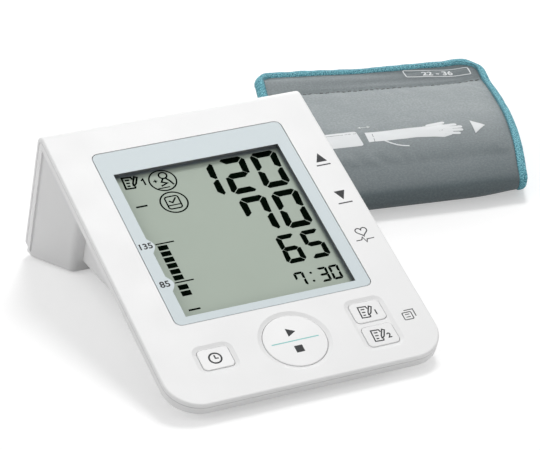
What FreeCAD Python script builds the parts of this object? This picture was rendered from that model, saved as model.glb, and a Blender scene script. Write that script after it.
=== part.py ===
import FreeCAD, Part
import math
import os

# Upper-arm blood pressure monitor with its folded cuff, in millimetres.
# Row frame: X right, Y back, Z up, origin at the centre of the rear foot's contact face.
# The monitor is drawn in its panel frame: x right, y up along the sloping panel from the
# front face, z out of the panel from its flat top. The cuff has a frame of its own: x along
# its front fold, y back, z up from the floor.

V = FreeCAD.Vector
X, Y, Z = V(1, 0, 0), V(0, 1, 0), V(0, 0, 1)

# housing: the panel is the window, the key field in front of it and a margin all round
window_side_margin = 17.7
window_back_margin = 19.9
panel_tilt = 22.8
front_height = 8.3
skin = 2.2
rim_depth = 5.8
rim_floor = 1.4
rim_wall = 2.0
flange_depth = 6.6
wall = 2.0
floor_wall = 1.6
front_corner = 16.0
foot_corner = 3.0
top_bend = 6.0
edge_round = 0.9
seam_round = 0.8
rim_overhang = 17.2
box_lift = 6.3
leg_depth = 29.5
leg_step = 4.7
leg_inset = 0.9
leg_corner = 4.0
leg_lift = 1.0
flange_lift = 3.44
leg_edge = 2.0
box_edge = 2.5

# window and display
window_width = 94.6
window_length = 107.3
window_front = 44.1
window_corner = 3.5
window_thickness = 1.5
window_recess = 0.1
mask_thickness = 0.2
mask_shift_x = -0.8
mask_shift_y = -1.3
view_side_border = 6.45
view_shift = 0.5
view_front_border = 5.7
view_back_border = 12.9
tab_radius = 5.5
tab_reach = 2.3
upper_tab = 43.1
lower_tab = 19.8
ledge_bottom = 3.0
ledge_margin = 1.2
lcd_top = 3.2
lcd_thickness = 2.4
lcd_margin = 1.45
lcd_end_margin = 2.5
holder_rail = 3.0
zebra_height = 2.0
zebra_width = 1.6

# keys
key_row_gap = 20.8
start_radius = 14.4
memory_inset = 1.9
memory_pitch = 14.0
memory_width = 14.8
memory_length = 11.5
clock_inset = 2.6
clock_width = 14.6
clock_length = 11.4
key_corner = 2.2
key_proud = 0.35
key_gap = 0.25
key_edge = 0.35
key_travel = 0.5
lip_margin = 0.7
lip_thickness = 0.6
lip_gap = 0.1
dish_depth = 0.55
dish_margin = 2.2
dish_slope = 1.7
dome_radius = 3.2
dome_top = 1.8
dome_wall = 0.5
dome_rest = 0.7

# boards
key_board_side_gap = 1.8
key_board_reach = 9.9
key_board_length = 24.0
key_board_thickness = 1.0
board_thickness = 1.2
chip_size = 12.0
chip_thickness = 1.3
chip_from_view = 35.0
buzzer_radius = 8.0
buzzer_height = 4.0
buzzer_from_side = 15.85
buzzer_from_view = 21.0
ribbon_width = 16.0
ribbon_thickness = 0.2
ribbon_lap = 4.5

# screws
screw_radius = 1.2
screw_head_radius = 2.2
screw_head_height = 1.6
screw_clearance = 0.15
screw_bite = 7.0
boss_radius = 3.6
front_screw_x = 24.0
front_screw_gap = 4.1
front_boss_end = 9.0
rear_screw_inset = 6.5
rear_screw_gap = 8.2
rear_boss_end = 18.0
seat_thickness = 3.0
small_screw_radius = 0.7
small_head_radius = 1.3
small_head_height = 0.9
board_screw_span = 60.0
key_screw_x = 22.0
key_post_radius = 2.2
post_radius = 2.5
post_inset = 9.8
rear_post_gap = 3.3
front_post_gap = 13.9

# pump, valve and air path
pump_gap_to_leg = 24.8
pump_depth = 27.0
motor_radius = 12.0
motor_side_gap = 3.8
motor_bore = 6.0
head_size = 27.0
head_length = 24.0
head_hollow = 8.0
head_hollow_length = 16.0
shaft_radius = 1.0
shaft_clearance = 0.05
eccentric_radius = 4.5
eccentric_offset = 1.5
eccentric_width = 5.0
sleeve_thickness = 2.0
sleeve_length = 12.0
cradle_width = 8.0
air_line = 8.5
port_radius = 2.0
port_length = 4.0
tube_wall = 1.0
pump_gap = 6.0
port_gap = 1.6
manifold_width = 10.0
manifold_length = 12.0
manifold_height = 10.0
valve_gap = 2.5
valve_length = 16.0
valve_width = 13.0
valve_height = 14.0
valve_plate = 1.5
coil_radius = 5.4
plunger_radius = 1.9
plunger_clearance = 0.1
plunger_head_radius = 3.2
plunger_head_length = 1.2
plunger_reach = 9.0
valve_stroke = 1.0
valve_spring_wire = 0.25
valve_spring_rest = 2.0
sensor_size = 10.0
sensor_height = 4.0
socket_flange_radius = 5.5
socket_flange = 1.0
socket_barrel_radius = 4.4
socket_bore_radius = 2.6
socket_bore_depth = 10.0
socket_back_wall = 1.2

# direct-current inlet
jack_gap_to_pump = 17.0
jack_depth = 18.5
jack_width = 9.0
jack_height = 10.0
jack_length = 12.0
jack_barrel_radius = 3.8
jack_bore_radius = 2.75
jack_bore_depth = 9.0
jack_pin_radius = 1.0
jack_pin_length = 7.5
hole_clearance = 0.1

# battery bay and its cover
cell_radius = 7.1
cell_length = 49.3
cell_pitch = 15.3
cell_count = 4
nub_radius = 2.7
nub_length = 1.2
cell_end_round = 0.6
contact_thickness = 0.4
cell_spring_height = 4.3
cell_spring_radius = 3.0
cell_spring_wire = 0.35
coil_steps = 12
bay_floor_gap = 1.0
bay_wall = 1.5
bay_mouth_gap = 5.4
cell_back_gap = 6.9
door_overlap = 1.2
door_gap = 0.3
door_thickness = 2.0
hinge_radius = 2.0
hinge_pin_radius = 0.9
hinge_pin_length = 2.2
hinge_clearance = 0.05
hinge_end_gap = 0.25
ear_width = 3.2
ear_depth = 1.6
notch_radius = 7.0
notch_depth = 1.0

# feet
rear_foot_inset = 13.1
rear_foot_side_gap = 14.5
rear_foot_length = 8.0
rear_foot_height = 2.0
front_foot_back = 26.0
front_foot_inset = 13.8
front_foot_radius = 5.0
front_foot_height = 3.0
front_foot_boss = 1.5
foot_pocket = 1.0

# cuff, folded in four layers
cuff_yaw = -10.0
cuff_x = 69.0
cuff_y = -6.1
cuff_front_width = 117.8
cuff_right_lean = 7.9
cuff_left_lean = 5.8
cuff_right_depth = 125.3
cuff_left_depth = 134.0
cuff_left_corner = 9.0
cuff_right_corner = 24.0
cuff_top = 21.5
cuff_pitch = 5.7
outer_cloth = 1.2
bladder_thickness = 1.8
inner_cloth = 1.4
droop_start = 112.0
strip_spare = 6.4
droop = 2.0
fold_clearance = 1.0
inner_fold = 10.75
tail_gap = 14.4
binding_width = 4.5
binding_proud = 0.3
bladder_margin = 14.0
hook_length = 44.0
hook_thickness = 0.9
hook_margin = 16.0
nipple_radius = 2.0
nipple_length = 12.0
nipple_base_radius = 2.6
nipple_base_length = 2.0
nipple_y = 60.0

case_width = window_width + 2 * window_side_margin
window_back = window_front + window_length
case_length = window_back + window_back_margin
half = case_width / 2
box_half = half - rim_overhang
view_width = window_width - 2 * view_side_border
view_front = window_front + view_front_border
view_back = window_back - view_back_border

key_row = window_front - key_row_gap
memory_x = window_width / 2 - memory_inset - memory_width / 2
clock_x = clock_inset + clock_width / 2 - window_width / 2
key_board_width = 2 * (box_half - wall - key_board_side_gap)
key_board_front = key_row - key_board_reach
key_board_top = skin + lip_gap + lip_thickness + dome_wall + key_travel + dome_rest
front_screw_y = window_front - front_screw_gap

leg_front = case_length - leg_depth
leg_front_width = 2 * (box_half + leg_step)
rear_screw_x = leg_front_width / 2 - rear_screw_inset
rear_screw_y = leg_front + rear_screw_gap
post_x = box_half - post_inset
rear_post_y = leg_front - rear_post_gap
front_post_y = window_front + front_post_gap
pump_y = leg_front - pump_gap_to_leg
plunger_gap = valve_stroke + valve_spring_rest
motor_start = wall + motor_side_gap - box_half
jack_y = pump_y - jack_gap_to_pump
chip_y = view_front + chip_from_view
buzzer_x = buzzer_from_side + view_side_border - window_width / 2
buzzer_y = view_front + buzzer_from_view
front_foot_x = box_half - front_foot_inset
rear_foot_width = leg_front_width - 2 * rear_foot_side_gap
board_top = lcd_top + lcd_thickness + zebra_height
board_bottom = board_top + board_thickness
key_board_bottom = key_board_top + key_board_thickness
cuff_cloth = outer_cloth + bladder_thickness + inner_cloth
tilt = math.radians(panel_tilt)


def drop_at(y, lift):
    """Panel depth at which the line at y meets the level lift above the floor."""
    return (front_height + y * math.sin(tilt) - lift) / math.cos(tilt)


def back_at(y, depth):
    """Distance behind the front edge of a point of the panel frame, along the floor."""
    return y * math.cos(tilt) + depth * math.sin(tilt)


back_reach = drop_at(case_length - flange_depth, flange_lift)
rear_foot_back = back_at(leg_front, drop_at(leg_front, leg_lift)) + rear_foot_inset

to_row = FreeCAD.Placement(V(0, -rear_foot_back, front_height), FreeCAD.Rotation(X, panel_tilt))
to_panel = to_row.inverse()


def moved(shape, placement):
    result = shape.copy()
    result.Placement = placement.multiply(shape.Placement)
    return result


def block(xs, ys, zs):
    size = (xs[1] - xs[0], ys[1] - ys[0], zs[1] - zs[0])
    return Part.makeBox(*size, V(xs[0], ys[0], zs[0]))


def rod(radius, start, direction, length):
    return Part.makeCylinder(radius, length, V(*start), direction)


def joined(shapes):
    result = shapes[0].fuse(shapes[1:]) if len(shapes) > 1 else shapes[0]
    return result.removeSplitter()


def group(shapes):
    return Part.makeCompound(shapes)


def edges_along(solid, axis, wanted=None):
    """Straight edges parallel to axis, or only those whose middle passes a test."""
    found = []
    for edge in solid.Edges:
        if edge.Curve.TypeId != "Part::GeomLine":
            continue
        if edge.tangentAt(edge.FirstParameter).cross(axis).Length > 1e-6:
            continue
        if wanted is None or wanted(edge.CenterOfMass):
            found.append(edge)
    return found


def plate(xs, ys, zs, corner):
    solid = block(xs, ys, zs)
    return solid.makeFillet(corner, edges_along(solid, Z))


def square_bar(xs, y, z, reach, corner):
    """Bar along x with a square section and round corners."""
    solid = block(xs, (y - reach, y + reach), (z - reach, z + reach))
    return solid.makeFillet(corner, edges_along(solid, X))


def prism(points, direction):
    wire = Part.makePolygon([V(*p) for p in points] + [V(*points[0])])
    return Part.Face(wire).extrude(direction)


def floor_slab(lift):
    """Everything in the panel frame that is lower than lift above the floor."""
    reach = 4 * case_width
    slab = block((-reach, reach), (-reach, reach), (-reach, lift))
    return moved(slab, to_panel)


def plan(inset, zs):
    """Case outline seen square to the panel, with its two large front corners."""
    solid = block((inset - half, half - inset), (inset, case_length), zs)
    front = edges_along(solid, Z, lambda c: c.y < inset + 1e-6)
    return solid.makeFillet(front_corner - inset, front)


def elevation(inset, ys):
    """Case outline seen square to the back face, with its two lower corners."""
    low = inset - back_reach
    solid = block((inset - half, half - inset), ys, (low, 10.0))
    lower = edges_along(solid, Y, lambda c: c.z < low + 1e-6)
    return solid.makeFillet(foot_corner, lower)


def wrap(near, far):
    """Sheet over the panel, round the top bend and down the back, between two depths."""
    end, centre = case_length, case_length - top_bend

    def bend(depth):
        radius = top_bend - depth
        middle = radius * math.sqrt(0.5)
        return [V(-half, centre, -depth), V(-half, centre + middle, middle - top_bend),
                V(-half, end - depth, -top_bend)]

    outer, inner = bend(near), bend(far)
    front_near, front_far = V(-half, 0, -near), V(-half, 0, -far)
    foot_near = V(-half, end - near, -back_reach)
    foot_far = V(-half, end - far, -back_reach)
    edges = [Part.makeLine(front_near, outer[0]), Part.Arc(*outer).toShape(),
             Part.makeLine(outer[2], foot_near), Part.makeLine(foot_near, foot_far),
             Part.makeLine(foot_far, inner[2]), Part.Arc(*inner[::-1]).toShape(),
             Part.makeLine(inner[0], front_far), Part.makeLine(front_far, front_near)]
    return Part.Face(Part.Wire(edges)).extrude(V(case_width, 0, 0))


def case_sheet(near, far, side):
    depth = 2 * back_reach
    sheet = wrap(near, far).common(plan(side, (-depth, 1.0)))
    return sheet.common(elevation(side, (-1.0, case_length + 1.0)))


def rounded_rim(sheet, depth, radius):
    """Round the outer perimeter of a wrapped sheet whose outer face lies at a depth."""
    uses = {}
    bend_axis = (case_length - top_bend, -top_bend)
    for face in sheet.Faces:
        c = face.CenterOfMass
        on_top = abs(c.z + depth) < 1e-4
        on_back = abs(c.y - case_length + depth) < 1e-4
        reach = math.hypot(c.y - bend_axis[0], c.z - bend_axis[1])
        on_bend = face.Surface.TypeId == "Part::GeomCylinder" and \
            c.y > bend_axis[0] and c.z > bend_axis[1] and reach > 0.8 * (top_bend - depth) and \
            abs(c.x) < 1e-3
        if on_top or on_back or on_bend:
            for edge in face.Edges:
                key = tuple(round(v, 3) for v in edge.CenterOfMass)
                uses.setdefault(key, []).append(edge)
    rim = [pair[0] for pair in uses.values() if len(pair) == 1]
    return sheet.makeFillet(radius, rim)


# keys: name, centre, outline half sizes; the start key is round
memory_shift = memory_pitch / 2
keys = {
    "start": (0.0, key_row, start_radius, start_radius),
    "clock": (clock_x, key_row, clock_width / 2, clock_length / 2),
    "memory_1": (memory_x, key_row + memory_shift, memory_width / 2, memory_length / 2),
    "memory_2": (memory_x, key_row - memory_shift, memory_width / 2, memory_length / 2),
}


def key_body(name, margin, zs):
    x, y, half_width, half_length = keys[name]
    if name == "start":
        return rod(half_width + margin, (x, y, zs[0]), Z, zs[1] - zs[0])
    xs = (x - half_width - margin, x + half_width + margin)
    ys = (y - half_length - margin, y + half_length + margin)
    return plate(xs, ys, zs, key_corner + margin)


def dish(xs, ys):
    """Cutter for a shallow key dish with a sloping edge."""
    rings = []
    for level, spread in ((-dish_depth, -dish_slope), (dish_depth, dish_slope)):
        solid = plate((xs[0] - spread, xs[1] + spread), (ys[0] - spread, ys[1] + spread),
                      (level, level + skin), key_corner + dish_margin + spread)
        rings.append(min(solid.Faces, key=lambda f: f.CenterOfMass.z).OuterWire)
    return Part.makeLoft(rings, True, True)


def round_dish(name):
    x, y, radius = keys[name][:3]
    middle = radius + dish_margin
    return Part.makeCone(middle - dish_slope, middle + dish_slope, 2 * dish_depth,
                         V(x, y, -dish_depth))


def dishes():
    reach_x = memory_width / 2 + dish_margin
    reach_y = memory_shift + memory_length / 2 + dish_margin
    clock_reach = (clock_width / 2 + dish_margin, clock_length / 2 + dish_margin)
    memory = dish((memory_x - reach_x, memory_x + reach_x), (key_row - reach_y, key_row + reach_y))
    clock = dish((clock_x - clock_reach[0], clock_x + clock_reach[0]),
                 (key_row - clock_reach[1], key_row + clock_reach[1]))
    return [round_dish("start"), memory, clock]


def button(name):
    face = key_proud - dish_depth
    cap = key_body(name, 0.0, (-skin, face))
    top = [e for e in cap.Edges if abs(e.BoundBox.ZMin - face) < 1e-6]
    cap = cap.makeFillet(key_edge, top)
    lip_top = -skin - lip_gap
    neck = key_body(name, 0.0, (lip_top, -skin))
    lip = key_body(name, lip_margin, (lip_top - lip_thickness, lip_top))
    return joined([cap, neck, lip])


def dome(name):
    x, y = keys[name][:2]
    low = -key_board_top
    high = -skin - lip_gap - lip_thickness
    outer = Part.makeCone(dome_radius, dome_top, high - low, V(x, y, low))
    inner = Part.makeCone(dome_radius - dome_wall, dome_top - dome_wall, high - low - dome_wall,
                          V(x, y, low))
    return outer.cut(inner)


# battery bay sizes
bay_half = cell_pitch * cell_count / 2
cell_y = case_length - cell_back_gap - cell_radius
bay_front = cell_y - cell_radius - 0.2
bay_mouth = case_length - bay_mouth_gap
bay_length = cell_length + nub_length + cell_spring_height + 2 * contact_thickness
bay_bottom = drop_at(bay_front, leg_lift + wall) - bay_floor_gap
bay_top = bay_bottom - bay_length
hinge_y = case_length - hinge_radius
hinge_depth = bay_bottom + door_overlap
door_top = bay_top - door_overlap
door_half = bay_half + door_overlap
cell_xs = [(i - (cell_count - 1) / 2) * cell_pitch for i in range(cell_count)]


def door_opening():
    side = door_half + door_gap
    low = -hinge_depth - hinge_radius - door_gap
    return block((-side, side), (case_length - 2 * skin, case_length + 1), (low, door_gap - door_top))


def hinge_ear(side):
    """Ear inside the back face that carries one pin of the battery cover."""
    start = door_half + door_gap
    xs = sorted((side * start, side * (start + ear_width)))
    ys = (case_length - skin - ear_depth, case_length - skin)
    zs = (-hinge_depth - hinge_radius, -hinge_depth + hinge_radius)
    return block(xs, ys, zs)


def screw_places():
    front = [(x, front_screw_y, front_boss_end) for x in (-front_screw_x, front_screw_x)]
    rear = [(x, rear_screw_y, rear_boss_end) for x in (-rear_screw_x, rear_screw_x)]
    return front + rear


def key_screw_places():
    y = key_board_front + key_board_length - 1.2 * key_post_radius
    return [(-key_screw_x, y), (key_screw_x, y)]


def view_opening(low):
    xs = (view_shift - view_width / 2, view_shift + view_width / 2)
    return block(xs, (view_front, view_back), (low, 0.0))


def front_cover():
    cover = rounded_rim(case_sheet(0.0, skin, 0.0), 0.0, edge_round)
    ledge_side = window_width / 2 + ledge_margin
    ledge = plate((-ledge_side, ledge_side), (window_front - ledge_margin, window_back + ledge_margin),
                  (-ledge_bottom, -skin / 2), window_corner)
    added = [ledge]
    for x, y, end in screw_places():
        added.append(rod(boss_radius - 1.0, (x, y, -end), Z, end - skin / 2))
    for x, y in key_screw_places():
        added.append(rod(key_post_radius, (x, y, -key_board_top), Z, key_board_top - skin / 2))
    added += [hinge_ear(-1), hinge_ear(1)]
    cover = joined([cover] + added)
    pocket_low = -(window_recess + window_thickness + mask_thickness)
    fit = hole_clearance / 2
    side = window_width / 2 + fit
    cuts = [plate((-side, side), (window_front - fit, window_back + fit), (pocket_low, 1.0),
                  window_corner)]
    cuts.append(view_opening(-2 * ledge_bottom))
    cuts += dishes()
    for name in keys:
        cuts.append(key_body(name, key_gap, (-2 * skin, 1.0)))
    for x, y, end in screw_places():
        cuts.append(rod(screw_radius, (x, y, -end), Z, min(screw_bite, end - skin)))
    for x, y in key_screw_places():
        cuts.append(rod(small_screw_radius, (x, y, -key_board_top), Z, key_board_top - skin))
    cuts.append(door_opening())
    pin_reach = door_half + door_gap + ear_width
    cuts.append(rod(hinge_pin_radius + hinge_clearance, (-pin_reach, hinge_y, -hinge_depth), X,
                    2 * pin_reach))
    cuts.append(rod(notch_radius, (0, case_length - notch_depth, -door_top), Y, 2 * notch_depth))
    return cover.cut(cuts)


def leg_outline(inset):
    """Plan of the rear leg, whose sides toe in towards its front wall."""
    back = case_length - flange_depth
    run = back - leg_front
    side = half - leg_inset
    rise = side - leg_front_width / 2
    slant = inset * math.hypot(run, rise) / run
    front_y = leg_front + inset
    front_x = leg_front_width / 2 + inset * rise / run - slant
    turn_y = back + (slant - inset) * run / rise
    points = [(front_x, front_y), (side - inset, turn_y), (side - inset, case_length - skin)]
    return points + [(-x, y) for x, y in points[::-1]]


def leg_prism(inset, zs, corner):
    solid = prism([(x, y, zs[0]) for x, y in leg_outline(inset)], V(0, 0, zs[1] - zs[0]))
    front_y = leg_front + inset
    front = edges_along(solid, Z, lambda c: abs(c.y - front_y) < 1e-6)
    return solid.makeFillet(corner, front)


def soft_bottom(solid, radius):
    """Round the edges of the level bottom, apart from the one along its back."""
    down = to_panel.Rotation.multVec(-Z)
    bottom = next(f for f in solid.Faces if f.Surface.TypeId == "Part::GeomPlane"
                  and (f.normalAt(0, 0) - down).Length < 1e-6)
    edges = [e for e in bottom.Edges if e.CenterOfMass.y < bottom.BoundBox.YMax - radius]
    return solid.makeFillet(radius, edges)


def core():
    """All the room inside the wrapped skin."""
    deep = 2 * back_reach
    room = block((-half, half), (0, case_length - skin), (-deep, -skin))
    bend = edges_along(room, X, lambda c: c.y > skin and c.z > -2 * skin)
    return room.makeFillet(top_bend - skin, bend)


def case_outside():
    deep = -2 * back_reach
    rim = rounded_rim(case_sheet(skin, rim_depth, 0.0), skin, seam_round)
    band = block((-half, half), (case_length - flange_depth, case_length - skin - seam_round),
                 (-back_reach, -top_bend)).common(elevation(0.0, (-1.0, case_length + 1.0)))
    box = block((-box_half, box_half), (rim_wall, leg_front + 2 * wall), (deep, -rim_depth + 0.5))
    box = soft_bottom(box.cut(floor_slab(box_lift)), box_edge)
    leg = leg_prism(0.0, (deep, -skin), leg_corner).common(core()).cut(floor_slab(leg_lift))
    leg = soft_bottom(leg, leg_edge)
    return joined([rim, band, box, leg])


def case_inside():
    deep = -2 * back_reach
    channel = case_sheet(skin - 0.5, rim_depth - rim_floor, rim_wall)
    band = block((rim_wall - half, half - rim_wall),
                 (case_length - flange_depth + rim_floor, case_length - skin),
                 (rim_wall - back_reach, -top_bend))
    inner = box_half - wall
    box = block((-inner, inner), (rim_wall + wall, leg_front + 2 * wall), (deep, -skin))
    box = box.cut(floor_slab(box_lift + floor_wall))
    leg = leg_prism(wall, (deep, -skin), leg_corner - wall / 2).cut(floor_slab(leg_lift + wall))
    return joined([channel, band, box, leg])


def bay_shell():
    outer = block((-bay_half - bay_wall, bay_half + bay_wall), (bay_front - bay_wall, bay_mouth),
                  (-bay_bottom - bay_wall, -bay_top + bay_wall))
    return outer.cut(block((-bay_half, bay_half), (bay_front, case_length), (-bay_bottom, -bay_top)))


def standing(radius, x, y, top, lift):
    """Post that stands on the case floor and ends at a depth below the panel."""
    deep = 2 * back_reach
    return rod(radius, (x, y, -deep), Z, deep - top).cut(floor_slab(lift))


def cradle():
    """Rib under the pump motor, with a seat for its rubber sleeve."""
    middle = motor_start + motor_length / 2
    reach = motor_radius + sleeve_thickness + wall
    rib = block((middle - cradle_width / 2, middle + cradle_width / 2),
                (pump_y - reach, pump_y + reach), (-2 * back_reach, -pump_depth))
    rib = rib.cut(rod(motor_radius + sleeve_thickness, (middle - cradle_width, pump_y, -pump_depth),
                      X, 2 * cradle_width))
    return rib.cut(floor_slab(box_lift + floor_wall / 2))


def valve_post():
    reach = valve_width / 4
    x = valve_x()
    y = valve_back() - valve_length / 2
    post = block((x - reach, x + reach), (y - reach, y + reach),
                 (-2 * back_reach, -pump_depth - valve_height / 2))
    return post.cut(floor_slab(box_lift + floor_wall / 2))


def front_foot_places():
    return [(-front_foot_x, front_foot_back - rear_foot_back),
            (front_foot_x, front_foot_back - rear_foot_back)]


def base_case():
    shell = case_outside().cut(case_inside())
    grip = boss_radius
    posts = [bay_shell().cut(floor_slab(leg_lift)), cradle(), valve_post()]
    posts += [standing(grip, x, front_screw_y, front_boss_end, box_lift)
              for x in (-front_screw_x, front_screw_x)]
    posts += [standing(grip, x, rear_screw_y, rear_boss_end, leg_lift)
              for x in (-rear_screw_x, rear_screw_x)]
    posts += [standing(post_radius, x, y, board_bottom, box_lift)
              for x in (-post_x, post_x) for y in (front_post_y, rear_post_y)]
    boss_low = front_foot_height - foot_pocket
    for x, y in front_foot_places():
        boss = rod(front_foot_radius + front_foot_boss, (x, y, boss_low), Z,
                   box_lift + floor_wall / 2 - boss_low)
        posts.append(moved(boss, to_panel))
    shell = joined([shell] + posts)

    cuts = []
    for x, y, end in screw_places():
        cuts.append(rod(screw_radius + screw_clearance, (x, y, -2 * back_reach), Z,
                        2 * back_reach - end))
        cuts.append(rod(screw_head_radius + 2 * screw_clearance, (x, y, -2 * back_reach), Z,
                        2 * back_reach - end - seat_thickness))
    for x, y in front_foot_places():
        cuts.append(moved(rod(front_foot_radius, (x, y, 0), Z, front_foot_height), to_panel))
    foot = block((-rear_foot_width / 2, rear_foot_width / 2),
                 (-rear_foot_length / 2, rear_foot_length / 2), (0, rear_foot_height))
    cuts.append(moved(foot, to_panel))
    side = box_half - 2 * wall
    cuts.append(rod(socket_barrel_radius, (side, air_y(), -pump_depth), X, 4 * wall))
    cuts.append(rod(jack_barrel_radius + hole_clearance, (side, jack_y, -jack_depth), X, 4 * wall))
    return shell.cut(cuts)


def display_window():
    side = window_width / 2
    high = -(window_recess + mask_thickness)
    return plate((-side, side), (window_front, window_back), (high - window_thickness, high),
                 window_corner)


def window_mask():
    """Printed film on the window's face, open over the display and with two round tabs."""
    side = window_width / 2
    film = plate((-side, side), (window_front, window_back),
                 (-window_recess - mask_thickness, -window_recess), window_corner)
    edge = view_shift - view_width / 2
    tabs = [rod(tab_radius, (edge + tab_reach - tab_radius, view_front + y, -skin), Z, skin)
            for y in (lower_tab, upper_tab)]
    opening = view_opening(-skin).cut(tabs)
    opening.translate(V(mask_shift_x, mask_shift_y, 0))
    return film.cut(opening)


def lcd_outline(margin):
    xs = (-view_width / 2 - lcd_margin - margin, view_width / 2 + lcd_margin + margin)
    ys = (view_front - lcd_end_margin - margin, view_back + lcd_end_margin + margin)
    return xs, ys


def lcd_panel():
    xs, ys = lcd_outline(0.0)
    return block(xs, ys, (-lcd_top - lcd_thickness, -lcd_top))


def zebra_places():
    ys = lcd_outline(0.0)[1]
    return [ys[0] + 0.5, ys[1] - 0.5 - zebra_width]


def zebra_strips():
    reach = view_width / 2
    strips = [block((-reach, reach), (y, y + zebra_width), (-board_top, -board_top + zebra_height))
              for y in zebra_places()]
    return group(strips)


def holder_outline():
    return lcd_outline(holder_rail)


def lcd_holder():
    xs, ys = holder_outline()
    frame = block(xs, ys, (-board_top, -ledge_bottom))
    inner_xs, inner_ys = lcd_outline(0.0)
    frame = frame.cut(block(inner_xs, inner_ys, (-lcd_top - lcd_thickness, 0)))
    shelf = 1.5 * zebra_width + 0.5
    frame = frame.cut(block((inner_xs[0] + 1, inner_xs[1] - 1),
                            (inner_ys[0] + shelf, inner_ys[1] - shelf), (-2 * board_top, 0)))
    slots = [block((-view_width / 2, view_width / 2), (y, y + zebra_width), (-2 * board_top, 0))
             for y in zebra_places()]
    holes = [rod(small_screw_radius, (x, y, -board_top), Z, lcd_thickness)
             for x, y in board_screw_places()]
    return frame.cut(slots + holes)


def board_screw_places():
    xs, ys = holder_outline()
    middle = (ys[0] + ys[1]) / 2
    inset = holder_rail / 2
    return [(x, middle + side * board_screw_span / 2)
            for x in (xs[0] + inset, xs[1] - inset) for side in (-1, 1)]


def main_board():
    xs, ys = holder_outline()
    board = block(xs, ys, (-board_bottom, -board_top))
    chip = block((-chip_size / 2, chip_size / 2), (chip_y - chip_size / 2, chip_y + chip_size / 2),
                 (-board_bottom - chip_thickness, -board_bottom))
    holes = [rod(small_screw_radius + screw_clearance, (x, y, -board_bottom), Z, board_thickness)
             for x, y in board_screw_places()]
    return joined([board, chip]).cut(holes)


def key_board():
    reach = key_board_width / 2
    board = block((-reach, reach), (key_board_front, key_board_front + key_board_length),
                  (-key_board_bottom, -key_board_top))
    holes = [rod(small_screw_radius + screw_clearance, (x, y, -key_board_bottom), Z,
                 key_board_thickness) for x, y in key_screw_places()]
    return board.cut(holes)


def small_screw(x, y, seat, bite):
    head = rod(small_head_radius, (x, y, -seat - small_head_height), Z, small_head_height)
    return joined([head, rod(small_screw_radius, (x, y, -seat), Z, bite)])


def board_screws():
    bite = board_thickness + lcd_thickness
    return group([small_screw(x, y, board_bottom, bite) for x, y in board_screw_places()])


def key_board_screws():
    bite = key_board_bottom - skin
    return group([small_screw(x, y, key_board_bottom, bite) for x, y in key_screw_places()])


def case_screws():
    screws = []
    for x, y, end in screw_places():
        seat = end + seat_thickness
        head = rod(screw_head_radius, (x, y, -seat - screw_head_height), Z, screw_head_height)
        bite = min(screw_bite, end - skin)
        shank = rod(screw_radius, (x, y, -seat), Z, seat_thickness + bite)
        slot = block((x - screw_head_radius, x + screw_head_radius), (y - 0.3, y + 0.3),
                     (-seat - screw_head_height, -seat - screw_head_height / 2))
        screws.append(joined([head, shank]).cut(slot))
    return group(screws)


def ribbon_cable():
    board_front = holder_outline()[1][0]
    board_end = key_board_front + key_board_length
    upper, lower = -key_board_bottom, -board_bottom
    line = [(board_end - ribbon_lap, upper), (board_end + 0.5, upper),
            (board_front - 0.5, lower), (board_front + ribbon_lap, lower)]
    under = [(y, z - ribbon_thickness) for y, z in line[::-1]]
    start = -ribbon_width / 2
    return prism([(start, y, z) for y, z in line + under], V(ribbon_width, 0, 0))


def buzzer():
    top = -board_bottom - buzzer_height
    body = rod(buzzer_radius, (buzzer_x, buzzer_y, top), Z, buzzer_height)
    return body.cut(rod(buzzer_radius / 6, (buzzer_x, buzzer_y, top), Z, buzzer_height / 2))


# pump and air path, laid out along x on one line from the socket inwards
socket_end = box_half + socket_flange
socket_start = socket_end - socket_bore_depth - socket_back_wall
manifold_end = socket_start - 2 * port_length - port_gap
manifold_start = manifold_end - manifold_width
head_end = manifold_start - pump_gap
head_start = head_end - head_length
motor_length = head_start - motor_start


def air_y():
    return pump_y + air_line


def valve_x():
    return manifold_start + manifold_width / 2


def valve_back():
    return air_y() - manifold_length / 2 - valve_gap


def pump_motor():
    start = (motor_start, pump_y, -pump_depth)
    can = rod(motor_radius, start, X, motor_length)
    rear = [e for e in can.Edges if abs(e.BoundBox.XMax - motor_start) < 1e-6]
    can = can.makeFillet(1.5, rear)
    return can.cut(rod(shaft_radius + shaft_clearance, (head_start - motor_bore, pump_y, -pump_depth),
                       X, motor_bore))


def hollow_start():
    return head_start + (head_length - head_hollow_length) / 2


def pump_head():
    reach = head_size / 2
    body = square_bar((head_start, head_end), pump_y, -pump_depth, reach, 2.0)
    hollow = rod(head_hollow, (hollow_start(), pump_y, -pump_depth), X, head_hollow_length)
    bore = rod(shaft_radius + shaft_clearance, (head_start, pump_y, -pump_depth), X, head_length / 2)
    port = rod(port_radius, (head_end, air_y(), -pump_depth), X, port_length / 2)
    return joined([body, port]).cut([hollow, bore])


def pump_shaft():
    start = head_start - motor_bore + 0.5
    end = hollow_start() + eccentric_width + 3.0
    shaft = rod(shaft_radius, (start, pump_y, -pump_depth), X, end - start)
    drum = rod(eccentric_radius, (hollow_start() + 1.5, pump_y + eccentric_offset, -pump_depth), X,
               eccentric_width)
    return joined([shaft, drum])


def pump_sleeve():
    middle = motor_start + motor_length / 2
    start = (middle - sleeve_length / 2, pump_y, -pump_depth)
    sleeve = rod(motor_radius + sleeve_thickness, start, X, sleeve_length)
    return sleeve.cut(rod(motor_radius, start, X, sleeve_length))


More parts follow.
